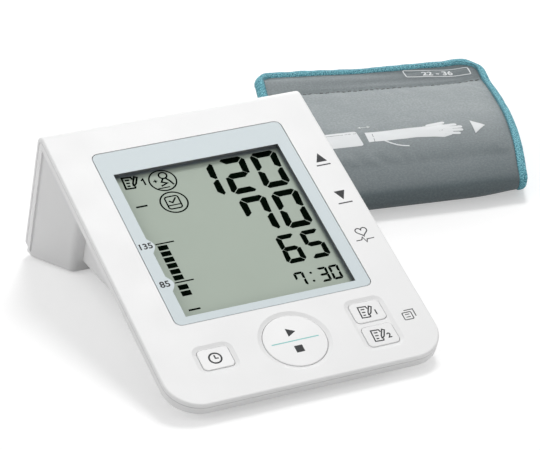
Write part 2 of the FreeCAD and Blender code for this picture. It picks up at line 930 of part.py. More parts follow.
def air_manifold():
    x, y, z = valve_x(), air_y(), -pump_depth
    body = block((manifold_start, manifold_end), (y - manifold_length / 2, y + manifold_length / 2),
                 (z - manifold_height / 2, z + manifold_height / 2))
    ports = [rod(port_radius, (manifold_start - port_length / 2, y, z), X, port_length / 2),
             rod(port_radius, (manifold_end, y, z), X, port_length),
             rod(port_radius, (x, y, z + manifold_height / 2), Z, port_length),
             rod(port_radius, (x, valve_back(), z), Y, valve_gap)]
    return joined([body] + ports)


def tube(start, direction, length):
    pipe = rod(port_radius + tube_wall, start, direction, length)
    return pipe.cut(rod(port_radius, start, direction, length))


def pump_tube():
    return tube((head_end, air_y(), -pump_depth), X, pump_gap)


def socket_tube():
    return tube((manifold_end, air_y(), -pump_depth), X, socket_start - manifold_end)


def sensor_tube():
    low = -pump_depth + manifold_height / 2
    high = -board_bottom - sensor_height
    return tube((valve_x(), air_y(), low), Z, high - low)


def pressure_sensor():
    x, y, reach = valve_x(), air_y(), sensor_size / 2
    low = -board_bottom - sensor_height
    body = block((x - reach, x + reach), (y - reach, y + reach), (low, -board_bottom))
    return joined([body, rod(port_radius, (x, y, low - port_length), Z, port_length)])


def valve_line():
    """The plunger's axis starts behind the valve's front plate and runs along y."""
    return valve_back() - valve_length


def valve_frame():
    x, z = valve_x(), -pump_depth
    start, end = valve_line(), valve_back()
    xs = (x - valve_width / 2, x + valve_width / 2)
    zs = (z - valve_height / 2, z + valve_height / 2)
    frame = block(xs, (start, end), zs)
    inner = block((xs[0] - 1, xs[1] + 1), (start + valve_plate, end - valve_plate),
                  (zs[0] + valve_plate, zs[1] - valve_plate))
    bore = rod(plunger_radius + plunger_clearance, (x, start - 1, z), Y, valve_plate + 2)
    return frame.cut([inner, bore])


def valve_coil():
    x, z = valve_x(), -pump_depth
    start, end = valve_line() + valve_plate, valve_back() - valve_plate
    coil = rod(coil_radius, (x, start, z), Y, end - start)
    return coil.cut(rod(plunger_radius + plunger_clearance, (x, start, z), Y, end - start))


def valve_plunger():
    x, z = valve_x(), -pump_depth
    head_y = valve_line() - plunger_gap
    stem = rod(plunger_radius, (x, head_y, z), Y, plunger_gap + plunger_reach)
    head = rod(plunger_head_radius, (x, head_y - plunger_head_length, z), Y, plunger_head_length)
    return joined([stem, head])


def spring(radius, wire, height, turns):
    """Open coil that stands on the origin along z."""
    count = turns * coil_steps
    rise = (height - 2 * wire) / count
    step = 2 * math.pi / coil_steps
    points = [
        V(radius * math.cos(step * i), radius * math.sin(step * i), wire + rise * i)
        for i in range(count + 1)
    ]
    section = Part.Wire(Part.makeCircle(wire, points[0], points[1] - points[0]))
    return Part.makePolygon(points).makePipeShell([section], True, False, 1)


def valve_spring():
    radius = plunger_head_radius - 2 * valve_spring_wire
    coil = spring(radius, valve_spring_wire, plunger_gap, 3)
    turn = FreeCAD.Rotation(X, -90)
    return moved(coil, FreeCAD.Placement(V(valve_x(), valve_line() - plunger_gap, -pump_depth), turn))


def air_socket():
    y, z = air_y(), -pump_depth
    barrel = rod(socket_barrel_radius, (socket_start, y, z), X, socket_end - socket_start)
    flange = rod(socket_flange_radius, (box_half, y, z), X, socket_flange)
    rim = [e for e in flange.Edges if abs(e.BoundBox.XMin - socket_end) < 1e-6]
    flange = flange.makeFillet(0.4, rim)
    port = rod(port_radius, (socket_start - port_length, y, z), X, port_length)
    bore = rod(socket_bore_radius, (socket_end - socket_bore_depth, y, z), X, socket_bore_depth)
    return joined([barrel, flange, port]).cut(bore)


def dc_jack():
    y, z = jack_y, -jack_depth
    inside = box_half - wall - hole_clearance
    body = block((inside - jack_length, inside), (y - jack_width / 2, y + jack_width / 2),
                 (z - jack_height / 2, z + jack_height / 2))
    barrel = rod(jack_barrel_radius, (inside, y, z), X, box_half - inside)
    leg = block((inside - jack_length, inside - jack_length + 2), (y - 1.5, y + 1.5),
                (z + jack_height / 2, -board_bottom))
    bore = rod(jack_bore_radius, (box_half - jack_bore_depth, y, z), X, jack_bore_depth)
    pin = rod(jack_pin_radius, (box_half - jack_bore_depth, y, z), X, jack_pin_length)
    return joined([joined([body, barrel, leg]).cut(bore), pin])


def cell_shape():
    """One cell standing on the origin, nub up."""
    can = rod(cell_radius, (0, 0, 0), Z, cell_length)
    can = can.makeFillet(cell_end_round, [e for e in can.Edges if e.Curve.TypeId == "Part::GeomCircle"])
    nub = rod(nub_radius, (0, 0, cell_length), Z, nub_length)
    return joined([can, nub])


def cell_end(index, at_nub):
    """Panel depth of the contact face at a cell's nub or spring end."""
    up = index % 2 == 0
    return bay_top + contact_thickness if up == at_nub else bay_bottom - contact_thickness


def upright(index):
    """Rotation that points a cell's nub at its own contact."""
    return FreeCAD.Rotation(X, 0 if index % 2 == 0 else 180)


def battery_cell(index):
    sign = 1 if index % 2 == 0 else -1
    base = -cell_end(index, True) - sign * (cell_length + nub_length)
    return moved(cell_shape(), FreeCAD.Placement(V(cell_xs[index], cell_y, base), upright(index)))


def battery_springs():
    springs = []
    for index, x in enumerate(cell_xs):
        coil = spring(cell_spring_radius, cell_spring_wire, cell_spring_height, 3)
        place = V(x, cell_y, -cell_end(index, False))
        springs.append(moved(coil, FreeCAD.Placement(place, upright(index))))
    return group(springs)


def battery_plates():
    """Contact strips at both ends of the bay, joined in pairs so that the cells are in series."""
    reach = cell_radius - 1.0
    plates = []
    top_pairs = [(i, i + 1) for i in range(0, cell_count, 2)]
    low_pairs = [(0, 0)] + [(i, i + 1) for i in range(1, cell_count - 2, 2)]
    low_pairs.append((cell_count - 1, cell_count - 1))
    for depth, pairs in ((bay_top, top_pairs), (bay_bottom - contact_thickness, low_pairs)):
        for first, last in pairs:
            xs = (cell_xs[first] - reach, cell_xs[last] + reach)
            plates.append(block(xs, (cell_y - reach, cell_y + reach),
                                (-depth - contact_thickness, -depth)))
    return group(plates)


def battery_cover():
    back = case_length
    lid = block((-door_half, door_half), (back - door_thickness, back), (-hinge_depth, -door_top))
    knuckle = rod(hinge_radius, (-door_half, hinge_y, -hinge_depth), X, 2 * door_half)
    reach = door_half + door_gap + hinge_pin_length - hinge_end_gap
    pin = rod(hinge_pin_radius, (-reach, hinge_y, -hinge_depth), X, 2 * reach)
    rib = block((-bay_half + 2, bay_half - 2), (back - door_thickness - 1.2, back - door_thickness),
                (-(bay_top + bay_bottom) / 2 - 1, -(bay_top + bay_bottom) / 2 + 1))
    cover = joined([lid, knuckle, pin, rib])
    notch = rod(notch_radius, (0, back - notch_depth, -door_top), Y, 2 * notch_depth)
    return cover.cut(notch)


def front_feet():
    feet = []
    for x, y in front_foot_places():
        foot = rod(front_foot_radius, (x, y, 0), Z, front_foot_height)
        low = [e for e in foot.Edges if abs(e.BoundBox.ZMax) < 1e-6]
        feet.append(foot.makeFillet(0.6, low))
    return group(feet)


def rear_foot():
    foot = block((-rear_foot_width / 2, rear_foot_width / 2),
                 (-rear_foot_length / 2, rear_foot_length / 2), (0, rear_foot_height))
    low = [e for e in foot.Edges if abs(e.BoundBox.ZMax) < 1e-6]
    return foot.makeFillet(0.5, low)


# cuff
to_cuff = FreeCAD.Placement(V(cuff_x, cuff_y, binding_proud), FreeCAD.Rotation(Z, cuff_yaw))
fold_radius = cuff_top / 2
third_level = cuff_top - cuff_pitch
back_radius = third_level / 2
back_fold = min(cuff_left_depth, cuff_right_depth) - bladder_margin - back_radius - fold_clearance
tail_end = back_fold - tail_gap
inner_radius = (third_level - cuff_pitch) / 2
cuff_reach = 2.5 * cuff_front_width


def arc(centre, radius, start, end):
    """Arc in the y-z plane between two angles in degrees."""
    angles = [math.radians(a) for a in (start, (start + end) / 2, end)]
    points = [V(0, centre[0] + radius * math.cos(a), centre[1] + radius * math.sin(a))
              for a in angles]
    return Part.Arc(*points).toShape()


def spiral(depth, tail):
    """Edges of the wound strip at a depth below its outer face, from its back edge inwards.

    tail says where the strip ends: in its fourth layer, or already at the end of its third."""
    droop_run = cuff_left_depth + strip_spare - droop_start
    slope = math.atan2(droop, droop_run)
    lift = cuff_top - depth
    knee = droop_start - depth * math.tan(slope / 2)
    end = V(0, droop_start + droop_run - depth * math.sin(slope),
            cuff_top - droop - depth * math.cos(slope))
    middle = fold_radius
    pieces = [Part.makeLine(end, V(0, knee, lift)), Part.makeLine(V(0, knee, lift), V(0, middle, lift)),
              arc((middle, middle), middle - depth, 90, 270),
              Part.makeLine(V(0, middle, depth), V(0, back_fold, depth)),
              arc((back_fold, back_radius), back_radius - depth, -90, 90)]
    level = third_level - depth
    pieces.append(Part.makeLine(V(0, back_fold, level), V(0, inner_fold, level)))
    if tail:
        low = cuff_pitch + depth
        pieces.append(arc((inner_fold, third_level - inner_radius), inner_radius - depth, 90, 270))
        pieces.append(Part.makeLine(V(0, inner_fold, low), V(0, tail_end, low)))
    return pieces


def strip(near, far, tail=True):
    """Solid band of the wound strip between two depths, wider than the cuff."""
    outer, inner = spiral(near, tail), spiral(far, tail)
    start = Part.makeLine(outer[0].Vertexes[0].Point, inner[0].Vertexes[0].Point)
    end = Part.makeLine(outer[-1].Vertexes[-1].Point, inner[-1].Vertexes[-1].Point)
    wire = Part.Wire(Part.__sortEdges__(outer + inner + [start, end]))
    band = Part.Face(wire).extrude(V(cuff_reach, 0, 0))
    band.translate(V((cuff_front_width - cuff_reach) / 2, 0, 0))
    return band


def cuff_outline(inset):
    """Plan of the cuff: both sides lean out to the back, and the back corners are round."""
    left = math.tan(math.radians(cuff_left_lean))
    right = math.tan(math.radians(cuff_right_lean))
    left_x = inset / math.cos(math.radians(cuff_left_lean))
    right_x = cuff_front_width - inset / math.cos(math.radians(cuff_right_lean))
    full_width = cuff_front_width + cuff_right_depth * right - cuff_left_depth * left
    fall = (cuff_right_depth - cuff_left_depth) / full_width
    drop = inset * math.hypot(1, fall)

    def corner(x, lean, depth):
        # the back line falls from the left corner to the right one
        base = depth - fall * (0 if depth == cuff_left_depth else full_width) - drop
        start = cuff_left_depth * left
        y = (base + fall * (x - start)) / (1 - fall * lean)
        return (x + lean * y, y, -cuff_top)

    front = -2 * cuff_pitch
    points = [(left_x + left * front, front, -cuff_top), (right_x + right * front, front, -cuff_top),
              corner(right_x, right, cuff_right_depth), corner(left_x, left, cuff_left_depth)]
    solid = prism(points, V(0, 0, 3 * cuff_top))
    for corner_radius, side in ((cuff_left_corner, -1), (cuff_right_corner, 1)):
        edge = edges_along(solid, Z, lambda c: c.y > cuff_right_depth / 2
                           and side * (c.x - cuff_front_width / 2) > 0)
        solid = solid.makeFillet(max(corner_radius - inset, corner_radius / 4), edge)
    return solid


def cuff_layer(near, far, inset, tail=True):
    return strip(near, far, tail).common(cuff_outline(inset))


def cuff_outer_cloth():
    return cuff_layer(0.0, outer_cloth, binding_width)


def cuff_inner_cloth():
    return cuff_layer(cuff_cloth - inner_cloth, cuff_cloth, binding_width)


def cuff_bladder():
    return cuff_layer(outer_cloth, cuff_cloth - inner_cloth, bladder_margin, tail=False)


def cuff_binding():
    band = strip(-binding_proud, cuff_cloth + binding_proud)
    return band.common(cuff_outline(0.0)).cut(cuff_outline(binding_width))


def cuff_hook_pad():
    """Hook fastener patch on the inner face of the strip's tail."""
    low = cuff_pitch + cuff_cloth
    end = tail_end - hook_margin / 4
    return block((hook_margin, cuff_front_width - hook_margin), (end - hook_length, end),
                 (low, low + hook_thickness))


def cuff_tube_fitting():
    """Nipple on the left end of the top layer, for a stranger's hose."""
    z = cuff_top - cuff_cloth / 2
    lean = math.radians(cuff_left_lean)
    x = nipple_y * math.tan(lean)
    direction = V(-math.cos(lean), math.sin(lean), 0)
    base = rod(nipple_base_radius, (x, nipple_y, z), direction, nipple_base_length)
    stem = rod(nipple_radius, (x, nipple_y, z), direction, nipple_length)
    return joined([base, stem])


panel_parts = {
    "front_cover": front_cover(),
    "base_case": base_case(),
    "display_window": display_window(),
    "window_mask": window_mask(),
    "lcd_panel": lcd_panel(),
    "lcd_holder": lcd_holder(),
    "zebra_strips": zebra_strips(),
    "main_board": main_board(),
    "key_board": key_board(),
    "ribbon_cable": ribbon_cable(),
    "board_screws": board_screws(),
    "key_board_screws": key_board_screws(),
    "case_screws": case_screws(),
    "buzzer": buzzer(),
    "pump_motor": pump_motor(),
    "pump_head": pump_head(),
    "pump_shaft": pump_shaft(),
    "pump_sleeve": pump_sleeve(),
    "air_manifold": air_manifold(),
    "pump_tube": pump_tube(),
    "socket_tube": socket_tube(),
    "sensor_tube": sensor_tube(),
    "pressure_sensor": pressure_sensor(),
    "valve_frame": valve_frame(),
    "valve_coil": valve_coil(),
    "valve_plunger": valve_plunger(),
    "valve_spring": valve_spring(),
    "air_socket": air_socket(),
    "dc_jack": dc_jack(),
    "battery_springs": battery_springs(),
    "battery_plates": battery_plates(),
    "battery_cover": battery_cover(),
}
for key in keys:
    panel_parts[key + "_button"] = button(key)
    panel_parts[key + "_dome"] = dome(key)
for number in range(cell_count):
    panel_parts["battery_cell_%d" % (number + 1)] = battery_cell(number)

cuff_parts = {
    "cuff_outer_cloth": cuff_outer_cloth(),
    "cuff_inner_cloth": cuff_inner_cloth(),
    "cuff_bladder": cuff_bladder(),
    "cuff_binding": cuff_binding(),
    "cuff_hook_pad": cuff_hook_pad(),
    "cuff_tube_fitting": cuff_tube_fitting(),
}

parts = {"front_feet": front_feet(), "rear_foot": rear_foot()}
parts.update({name: moved(shape, to_row) for name, shape in panel_parts.items()})
parts.update({name: moved(shape, to_cuff) for name, shape in cuff_parts.items()})

os.makedirs("parts", exist_ok=True)
for name, shape in sorted(parts.items()):
    shape.exportStep("parts/%s.step" % name)
    print(name, len(shape.Solids), shape.isValid(), round(shape.Volume, 1))
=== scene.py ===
from math import atan2, cos, degrees, exp, floor, hypot, pi, radians, sin, sqrt, tan, tanh

import bmesh
import bpy
from mathutils import Matrix, Vector, noise


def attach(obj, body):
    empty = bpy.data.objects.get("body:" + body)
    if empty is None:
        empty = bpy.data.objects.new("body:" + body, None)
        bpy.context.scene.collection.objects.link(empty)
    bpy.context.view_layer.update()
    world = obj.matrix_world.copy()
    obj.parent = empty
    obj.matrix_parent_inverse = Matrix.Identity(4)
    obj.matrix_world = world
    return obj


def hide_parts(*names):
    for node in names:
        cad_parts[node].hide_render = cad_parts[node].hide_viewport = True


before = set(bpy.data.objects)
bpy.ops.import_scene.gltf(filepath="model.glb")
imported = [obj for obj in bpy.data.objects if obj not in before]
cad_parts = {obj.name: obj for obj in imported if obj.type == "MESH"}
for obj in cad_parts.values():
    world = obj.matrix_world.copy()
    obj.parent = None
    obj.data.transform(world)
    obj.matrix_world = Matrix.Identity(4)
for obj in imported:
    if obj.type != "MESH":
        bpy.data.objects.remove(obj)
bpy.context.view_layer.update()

scene = bpy.context.scene
scene.view_settings.view_transform = "Standard"
mm = 0.001

# drawings are in millimetres, in the frame of the sloping panel or of the cuff
panel = {"tilt": 22.8, "back": 169.988, "lift": 8.3}
cuffPlace = {"x": 69.0, "y": -6.1, "z": 0.3, "axis": "Z", "degrees": -10.0}


def placeAt(x, y, z, axis, degrees):
    turn = Matrix.Rotation(radians(degrees), 4, axis)
    return Matrix.Translation((x * mm, y * mm, z * mm)) @ turn @ Matrix.Scale(mm, 4)


def hold(name, data):
    holder = bpy.data.objects.new(name, data)
    scene.collection.objects.link(holder)
    return holder


panelFrame = placeAt(0, -panel["back"], panel["lift"], "X", panel["tilt"])
cuffFrame = placeAt(**cuffPlace)


# camera

camera = {"place": (-0.41839, -1.04452, 0.53309), "azimuth": -24.427, "elevation": 24.991,
          "roll": -0.588, "lens": 172.28, "near": 0.05, "far": 20}


def addCamera():
    data = bpy.data.cameras.new("camera")
    data.lens, data.clip_start, data.clip_end = (camera[k] for k in ("lens", "near", "far"))
    eye = scene.camera = hold("camera", data)
    turns = ((camera["azimuth"], "Z"), (90 - camera["elevation"], "X"), (camera["roll"], "Z"))
    eye.matrix_world = Matrix.Translation(camera["place"])
    for degrees, axis in turns:
        eye.matrix_world @= Matrix.Rotation(radians(degrees), 4, axis)


addCamera()
print("camera set")


# node helpers

def put(tree, kind, sockets=None, **settings):
    node = tree.nodes.new("ShaderNode" + kind)
    for key, value in settings.items():
        setattr(node, key, value)
    for key, value in (sockets or {}).items():
        if isinstance(value, bpy.types.NodeSocket):
            tree.links.new(value, node.inputs[key])
        else:
            node.inputs[key].default_value = value
    return node


def beside(sockets, kind, **settings):
    # a node in the tree that its sockets are in
    tree = next(v.id_data for v in sockets.values() if isinstance(v, bpy.types.NodeSocket))
    return put(tree, kind, sockets, **settings)


def calc(operation, first, second=0.0, clamp=False):
    return beside({0: first, 1: second}, "Math", operation=operation, use_clamp=clamp).outputs[0]


def plus(first, second):
    return calc("ADD", first, second)


def minus(first, second):
    return calc("SUBTRACT", first, second)


def times(first, second, clamp=False):
    return calc("MULTIPLY", first, second, clamp)


def graded(value, gain, base):
    return plus(times(value, gain), base)


def blend(amount, first, second, mode="MIX"):
    return beside({0: amount, 6: first, 7: second}, "Mix", data_type="RGBA", blend_type=mode).outputs[2]


def tinted(base, *tint):
    return blend(1.0, base, (*tint, 1), "MULTIPLY")


def ramp(value, low, high, kind="SMOOTHSTEP", to=(0.0, 1.0)):
    return beside({"Value": value, "From Min": low, "From Max": high, "To Min": to[0],
        "To Max": to[1]}, "MapRange", interpolation_type=kind).outputs["Result"]


def noiseAt(spot, scale, detail=2.0, rough=0.5):
    return beside({"Vector": spot, "Scale": scale, "Detail": detail, "Roughness": rough},
        "TexNoise").outputs[0]


def bumpOf(strength, distance, height):
    return beside({"Strength": strength, "Distance": distance, "Height": height}, "Bump").outputs[0]


def objectSpot(tree):
    return put(tree, "TexCoord").outputs["Object"]


def panelSpot(tree):
    # across, along and out of the panel, in millimetres
    turned = put(tree, "Mapping", {
        "Vector": objectSpot(tree), "Location": (0, -panel["back"] * mm, panel["lift"] * mm),
        "Rotation": (radians(panel["tilt"]), 0, 0), "Scale": (mm, mm, mm)}, vector_type="TEXTURE")
    return put(tree, "SeparateXYZ", {0: turned.outputs[0]}).outputs


def clothSpot(tree):
    # place on the flat cloth, then its two parts, in millimetres
    spot = put(tree, "UVMap", uv_map="weave").outputs[0]
    return spot, *put(tree, "SeparateXYZ", {0: spot}).outputs[:2]


def addSocket(tree, label, side):
    kind = {"Colour": "Color", "Normal": "Vector"}.get(label, "Float")
    return tree.interface.new_socket(label, in_out=side, socket_type="NodeSocket" + kind)


def newGroup(name, takes):
    tree = bpy.data.node_groups.new(name, "ShaderNodeTree")
    for label, value in takes.items():
        addSocket(tree, label, "INPUT").default_value = value
    return tree, tree.nodes.new("NodeGroupInput").outputs


def give(tree, **results):
    for label in results:
        addSocket(tree, label, "OUTPUT")
    gives = tree.nodes.new("NodeGroupOutput").inputs
    for label, result in results.items():
        tree.links.new(result, gives[label])
    return tree


# effects that several finishes share

def mouldedGrainGroup():
    tree, takes = newGroup("mouldedGrain", {
        "Colour": (0.9, 0.9, 0.9, 1), "Grain Size": 0.5, "Grain Depth": 0.3, "Mottle": 0.02,
        "Roughness": 0.4})
    coords, perMetre, base = objectSpot(tree), 1000.0, takes["Colour"]
    fine = noiseAt(coords, calc("DIVIDE", perMetre, takes["Grain Size"]))
    broad = noiseAt(coords, 60.0, 3.0)
    tone = plus(times(fine, 0.6), times(broad, 0.4))
    amount = times(tone, times(takes["Mottle"], 10.0))
    return give(tree, Colour=blend(amount, base, tinted(base, 0.86, 0.865, 0.87)),
                Roughness=plus(takes["Roughness"], times(minus(broad, 0.5), 0.12)),
                Normal=bumpOf(takes["Grain Depth"], 0.00004, fine))


def printedInkGroup():
    tree, takes = newGroup("printedInk", {"Colour": (0.1, 0.1, 0.1, 1), "Thin Spots": 0.1})
    specks = ramp(noiseAt(objectSpot(tree), 2200.0, 3.0), 0.35, 0.7)
    paler = blend(0.35, takes["Colour"], (0.8, 0.8, 0.8, 1))
    amount = times(specks, takes["Thin Spots"])
    return give(tree, Colour=blend(amount, takes["Colour"], paler),
                Roughness=graded(specks, 0.15, 0.42))


def clothWeaveGroup():
    tree, takes = newGroup("clothWeave", {
        "Colour": (0.3, 0.3, 0.3, 1), "Thread": 0.5, "Depth": 0.5, "Mottle": 0.1,
        "Hem Start": 1000.0, "Hem Slant": 0.075, "Hem Shade": 0.85, "Fold Shade": 1.0})
    spot, across, along = clothSpot(tree)
    pitch = calc("DIVIDE", pi, takes["Thread"])
    wander = times(noiseAt(spot, 0.6), 0.6)
    warp, weft = (calc("SINE", times(plus(axis, wander), pitch)) for axis in (across, along))
    crinkle = noiseAt(spot, 0.85, 4.0, 0.7)
    height = graded(times(warp, weft), 0.35, crinkle)
    tone = graded(ramp(crinkle, 0.36, 0.64), 0.7, times(noiseAt(spot, 0.06, 3.0), 0.5))
    amount = times(tone, times(takes["Mottle"], 5.0), clamp=True)
    base = blend(amount, takes["Colour"], tinted(takes["Colour"], 0.72, 0.73, 0.74))
    # painted shade beyond the slanting seam and down towards the front fold
    past = minus(graded(across, takes["Hem Slant"], along), takes["Hem Start"])
    spread = ramp(across, 10.0, 120.0, "LINEAR", to=(0.3, 1.4))
    hem = times(times(ramp(past, 0.0, 5.0), spread), takes["Hem Shade"])
    fold = times(ramp(along, 72.0, 0.0), takes["Fold Shade"])
    shade = calc("MAXIMUM", hem, fold)
    return give(tree, Colour=blend(shade, base, tinted(base, 0.45, 0.5, 0.52)),
                Roughness=graded(crinkle, 0.25, 0.42), Normal=bumpOf(takes["Depth"], 0.0001, height))


def ribbedTapeGroup():
    tree, takes = newGroup("ribbedTape", {
        "Colour": (0.1, 0.4, 0.5, 1), "Rib": 0.7, "Depth": 0.6})
    spot, across, along = clothSpot(tree)
    wavy = plus(along, times(noiseAt(spot, 1.5), 0.3))
    rib = graded(calc("SINE", times(wavy, calc("DIVIDE", 2 * pi, takes["Rib"]))), 0.5, 0.5)
    knots = noiseAt(spot, 1.6, 3.0)
    pale = blend(0.55, takes["Colour"], (0.46, 0.86, 0.92, 1))
    base = blend(ramp(knots, 0.42, 0.6), tinted(takes["Colour"], 0.12, 0.3, 0.38), pale)
    return give(tree, Colour=blend(times(rib, 0.35), base, pale),
                Roughness=graded(knots, 0.2, 0.6),
                Normal=bumpOf(takes["Depth"], 0.00025, graded(rib, 0.7, knots)))


def brushedMetalGroup():
    tree, takes = newGroup("brushedMetal", {
        "Colour": (0.6, 0.6, 0.6, 1), "Brush": 0.15, "Tarnish": 0.2})
    coords, base = objectSpot(tree), takes["Colour"]
    streaks = put(tree, "Mapping", {"Vector": coords, "Scale": (200.0, 4000.0, 4000.0)})
    lines = noiseAt(streaks.outputs[0], 1.0)
    amount = times(ramp(noiseAt(coords, 180.0, 4.0), 0.4, 0.75), takes["Tarnish"])
    return give(tree, Colour=blend(amount, base, tinted(base, 0.6, 0.57, 0.52)),
                Roughness=graded(lines, 0.25, 0.22), Normal=bumpOf(takes["Brush"], 0.00002, lines))


def recessShadeGroup():
    # the shade that the recess's back and right walls throw on the display
    tree, takes = newGroup("recessShade", {"Back Edge": 137.8, "Right Edge": 41.2, "Fade": 1.9})
    across, along, out = panelSpot(tree)
    masks = [ramp(axis, minus(takes[edge], takes["Fade"]), takes[edge])
             for axis, edge in ((along, "Back Edge"), (across, "Right Edge"))]
    return give(tree, Mask=calc("MAXIMUM", *masks))


def recessWallShadeGroup():
    # painted shade on the walls and ledge of the recess under the window
    tree, takes = newGroup("recessWallShade", {
        "Half Width": 42.2, "Front": 48.0, "Back": 138.9, "Level": -1.5})
    across, along, out = panelSpot(tree)
    wide = calc("LESS_THAN", calc("ABSOLUTE", across), takes["Half Width"])
    front = calc("GREATER_THAN", along, takes["Front"])
    back = calc("LESS_THAN", along, takes["Back"])
    deep = calc("LESS_THAN", out, takes["Level"])
    return give(tree, Mask=times(times(wide, front), times(back, deep)))


def seamShadeLineGroup():
    # painted shade along the joint between cover and case, seen round the rim: a dark line where the
    # groove's shadow falls
    tree, takes = newGroup("seamShadeLine", {
        "Level": -2.2, "Core": 0.12, "Half Width": 0.42, "Side": 62.0, "Front": 8.0,
        "Back": 166.0})
    across, along, out = panelSpot(tree)
    away = calc("ABSOLUTE", minus(out, takes["Level"]))
    line = ramp(away, takes["Half Width"], takes["Core"], "LINEAR")
    side = calc("GREATER_THAN", calc("ABSOLUTE", across), takes["Side"])
    front = calc("LESS_THAN", along, takes["Front"])
    rim = times(calc("MAXIMUM", side, front), calc("LESS_THAN", along, takes["Back"]))
    return give(tree, Mask=times(line, rim))


mouldedGrain, printedInk, clothWeave = mouldedGrainGroup(), printedInkGroup(), clothWeaveGroup()
ribbedTape, brushedMetal = ribbedTapeGroup(), brushedMetalGroup()
recessShade, recessWallShade, seamShadeLine = recessShadeGroup(), recessWallShadeGroup(), seamShadeLineGroup()
print("effects built")


# finishes

def newFinish(name, effect=None, values=None, **plain):
    material = bpy.data.materials.new(name)
    material.use_nodes = True
    tree = material.node_tree
    shader = tree.nodes["Principled BSDF"]
    for socket, value in plain.items():
        shader.inputs[socket.replace("_", " ")].default_value = value
    if effect:
        group = put(tree, "Group", values, node_tree=effect)
        for result in group.outputs:
            target = "Base Color" if result.name == "Colour" else result.name
            tree.links.new(result, shader.inputs[target])
    return material


def moulded(name, tint, rough, size=0.5, depth=0.3, mottle=0.02, **plain):
    values = {"Colour": (*tint, 1), "Grain Size": size, "Grain Depth": depth, "Mottle": mottle,
              "Roughness": rough}
    return newFinish(name, mouldedGrain, values, **plain)


def ink(name, tint, thin=0.1, gloss=0.2):
    return newFinish(name, printedInk, {"Colour": (*tint, 1), "Thin Spots": thin},
        Specular_IOR_Level=gloss)


def cloth(name, tint, thread, depth, mottle, hem=1000.0, **plain):
    values = {"Colour": (*tint, 1), "Thread": thread, "Depth": depth, "Mottle": mottle,
              "Hem Start": hem}
    return newFinish(name, clothWeave, values, **plain)


def metal(name, tint, brush=0.15, tarnish=0.2):
    values = {"Colour": (*tint, 1), "Brush": brush, "Tarnish": tarnish}
    return newFinish(name, brushedMetal, values, Metallic=1.0)


def darkened(material, effect, tint, strength=1.0):
    # turns the base colour to a tint where the effect's mask is; every mask used with it here is
    # painted shade
    tree = material.node_tree
    base = tree.nodes["Principled BSDF"].inputs["Base Color"]
    mask = put(tree, "Group", node_tree=effect).outputs["Mask"]
    grain = base.links[0].from_socket
    tree.links.new(blend(times(mask, strength), grain, (*tint, 1)), base)
    return material


def shell(name, tone):
    plastic = moulded(name, (tone, tone, tone), 0.45, mottle=0.012)
    # darkens the rim's joint with painted shade
    return darkened(plastic, seamShadeLine, (0.36, 0.36, 0.37), 0.62)


def windowFinish():
    material = newFinish("windowClear", Base_Color=(1, 1, 1, 1), Roughness=0.0, IOR=1.0,
        Transmission_Weight=1.0)
    tree = material.node_tree
    path = put(tree, "LightPath")
    clear = put(tree, "BsdfTransparent")
    unseen = minus(1.0, path.outputs["Is Camera Ray"])
    mixed = put(tree, "MixShader", {
        0: unseen, 1: tree.nodes["Principled BSDF"].outputs[0], 2: clear.outputs[0]})
    tree.links.new(mixed.outputs[0], tree.nodes["Material Output"].inputs["Surface"])
    return material


finishes = {
    "case_white": shell("caseWhite", 0.88),
    "key_white": moulded("keyWhite", (0.85, 0.85, 0.85), 0.38, size=0.4, depth=0.2, mottle=0.008),
    "window_clear": windowFinish(),
    "mask_blue": ink("maskBlue", (0.66, 0.735, 0.76), 0.04, 0.3),
    "lcd_grey": darkened(moulded("displayGlass", (0.455, 0.52, 0.45), 0.45, size=0.35, depth=0.05,
        Specular_IOR_Level=0.05), recessShade, (0.17, 0.195, 0.21)),
    "inner_plastic": moulded("innerPlastic", (0.06, 0.063, 0.066), 0.5, size=0.8),
    "board_green": moulded("boardGreen", (0.015, 0.12, 0.05), 0.3, size=0.3, Coat_Weight=0.4),
    "silicone_clear": moulded("siliconeClear", (0.72, 0.74, 0.74), 0.35, size=1.0,
        Subsurface_Weight=0.4, Subsurface_Scale=0.002),
    "foot_rubber": moulded("footRubber", (0.09, 0.095, 0.1), 0.75, size=0.4, depth=0.6, mottle=0.05),
    "steel": metal("platedSteel", (0.62, 0.62, 0.62)),
    "copper": metal("woundCopper", (0.72, 0.36, 0.18), 0.6, 0.3),
    "cell_jacket": moulded("cellJacket", (0.1, 0.16, 0.24), 0.3, size=0.3, mottle=0.05,
        Metallic=0.4, Coat_Weight=0.5),
    # the outer cloth gets painted shade past its seam and towards the front fold
    "cloth_grey": cloth("cuffCloth", (0.236, 0.274, 0.281), 0.45, 0.8, 0.26, hem=110.0,
        Specular_IOR_Level=0.5),
    "cloth_inner": cloth("cuffLining", (0.2, 0.22, 0.24), 0.8, 0.9, 0.3, Sheen_Weight=0.4),
    "bladder_rubber": moulded("bladderRubber", (0.1, 0.11, 0.115), 0.6, size=0.8),
    "binding_teal": newFinish("bindingTeal", ribbedTape, {"Colour": (0.035, 0.38, 0.48, 1),
        "Rib": 1.1, "Depth": 1.2}, Specular_IOR_Level=0.2),
}
# the cover's recess walls and ledge under the window get painted shade
coverWhite = darkened(shell("coverWhite", 0.885), recessWallShade, (0.16, 0.17, 0.175))
segmentBlack = ink("segmentBlack", (0.0015, 0.004, 0.002), 0.0, 0.0)
inkDark = ink("inkDark", (0.035, 0.037, 0.04), 0.1, 0.1)
inkGrey = ink("inkGrey", (0.17, 0.18, 0.19), 0.15)
inkTeal = ink("inkTeal", (0.30, 0.66, 0.63), 0.1)
inkWhite = ink("inkWhite", (0.66, 0.68, 0.69), 0.25)
threadGrey = ink("threadGrey", (0.05, 0.055, 0.06), 0.3)
threadTeal = ink("threadTeal", (0.03, 0.16, 0.21), 0.3)
keenEdge = 20  # degrees between faces that read as an edge

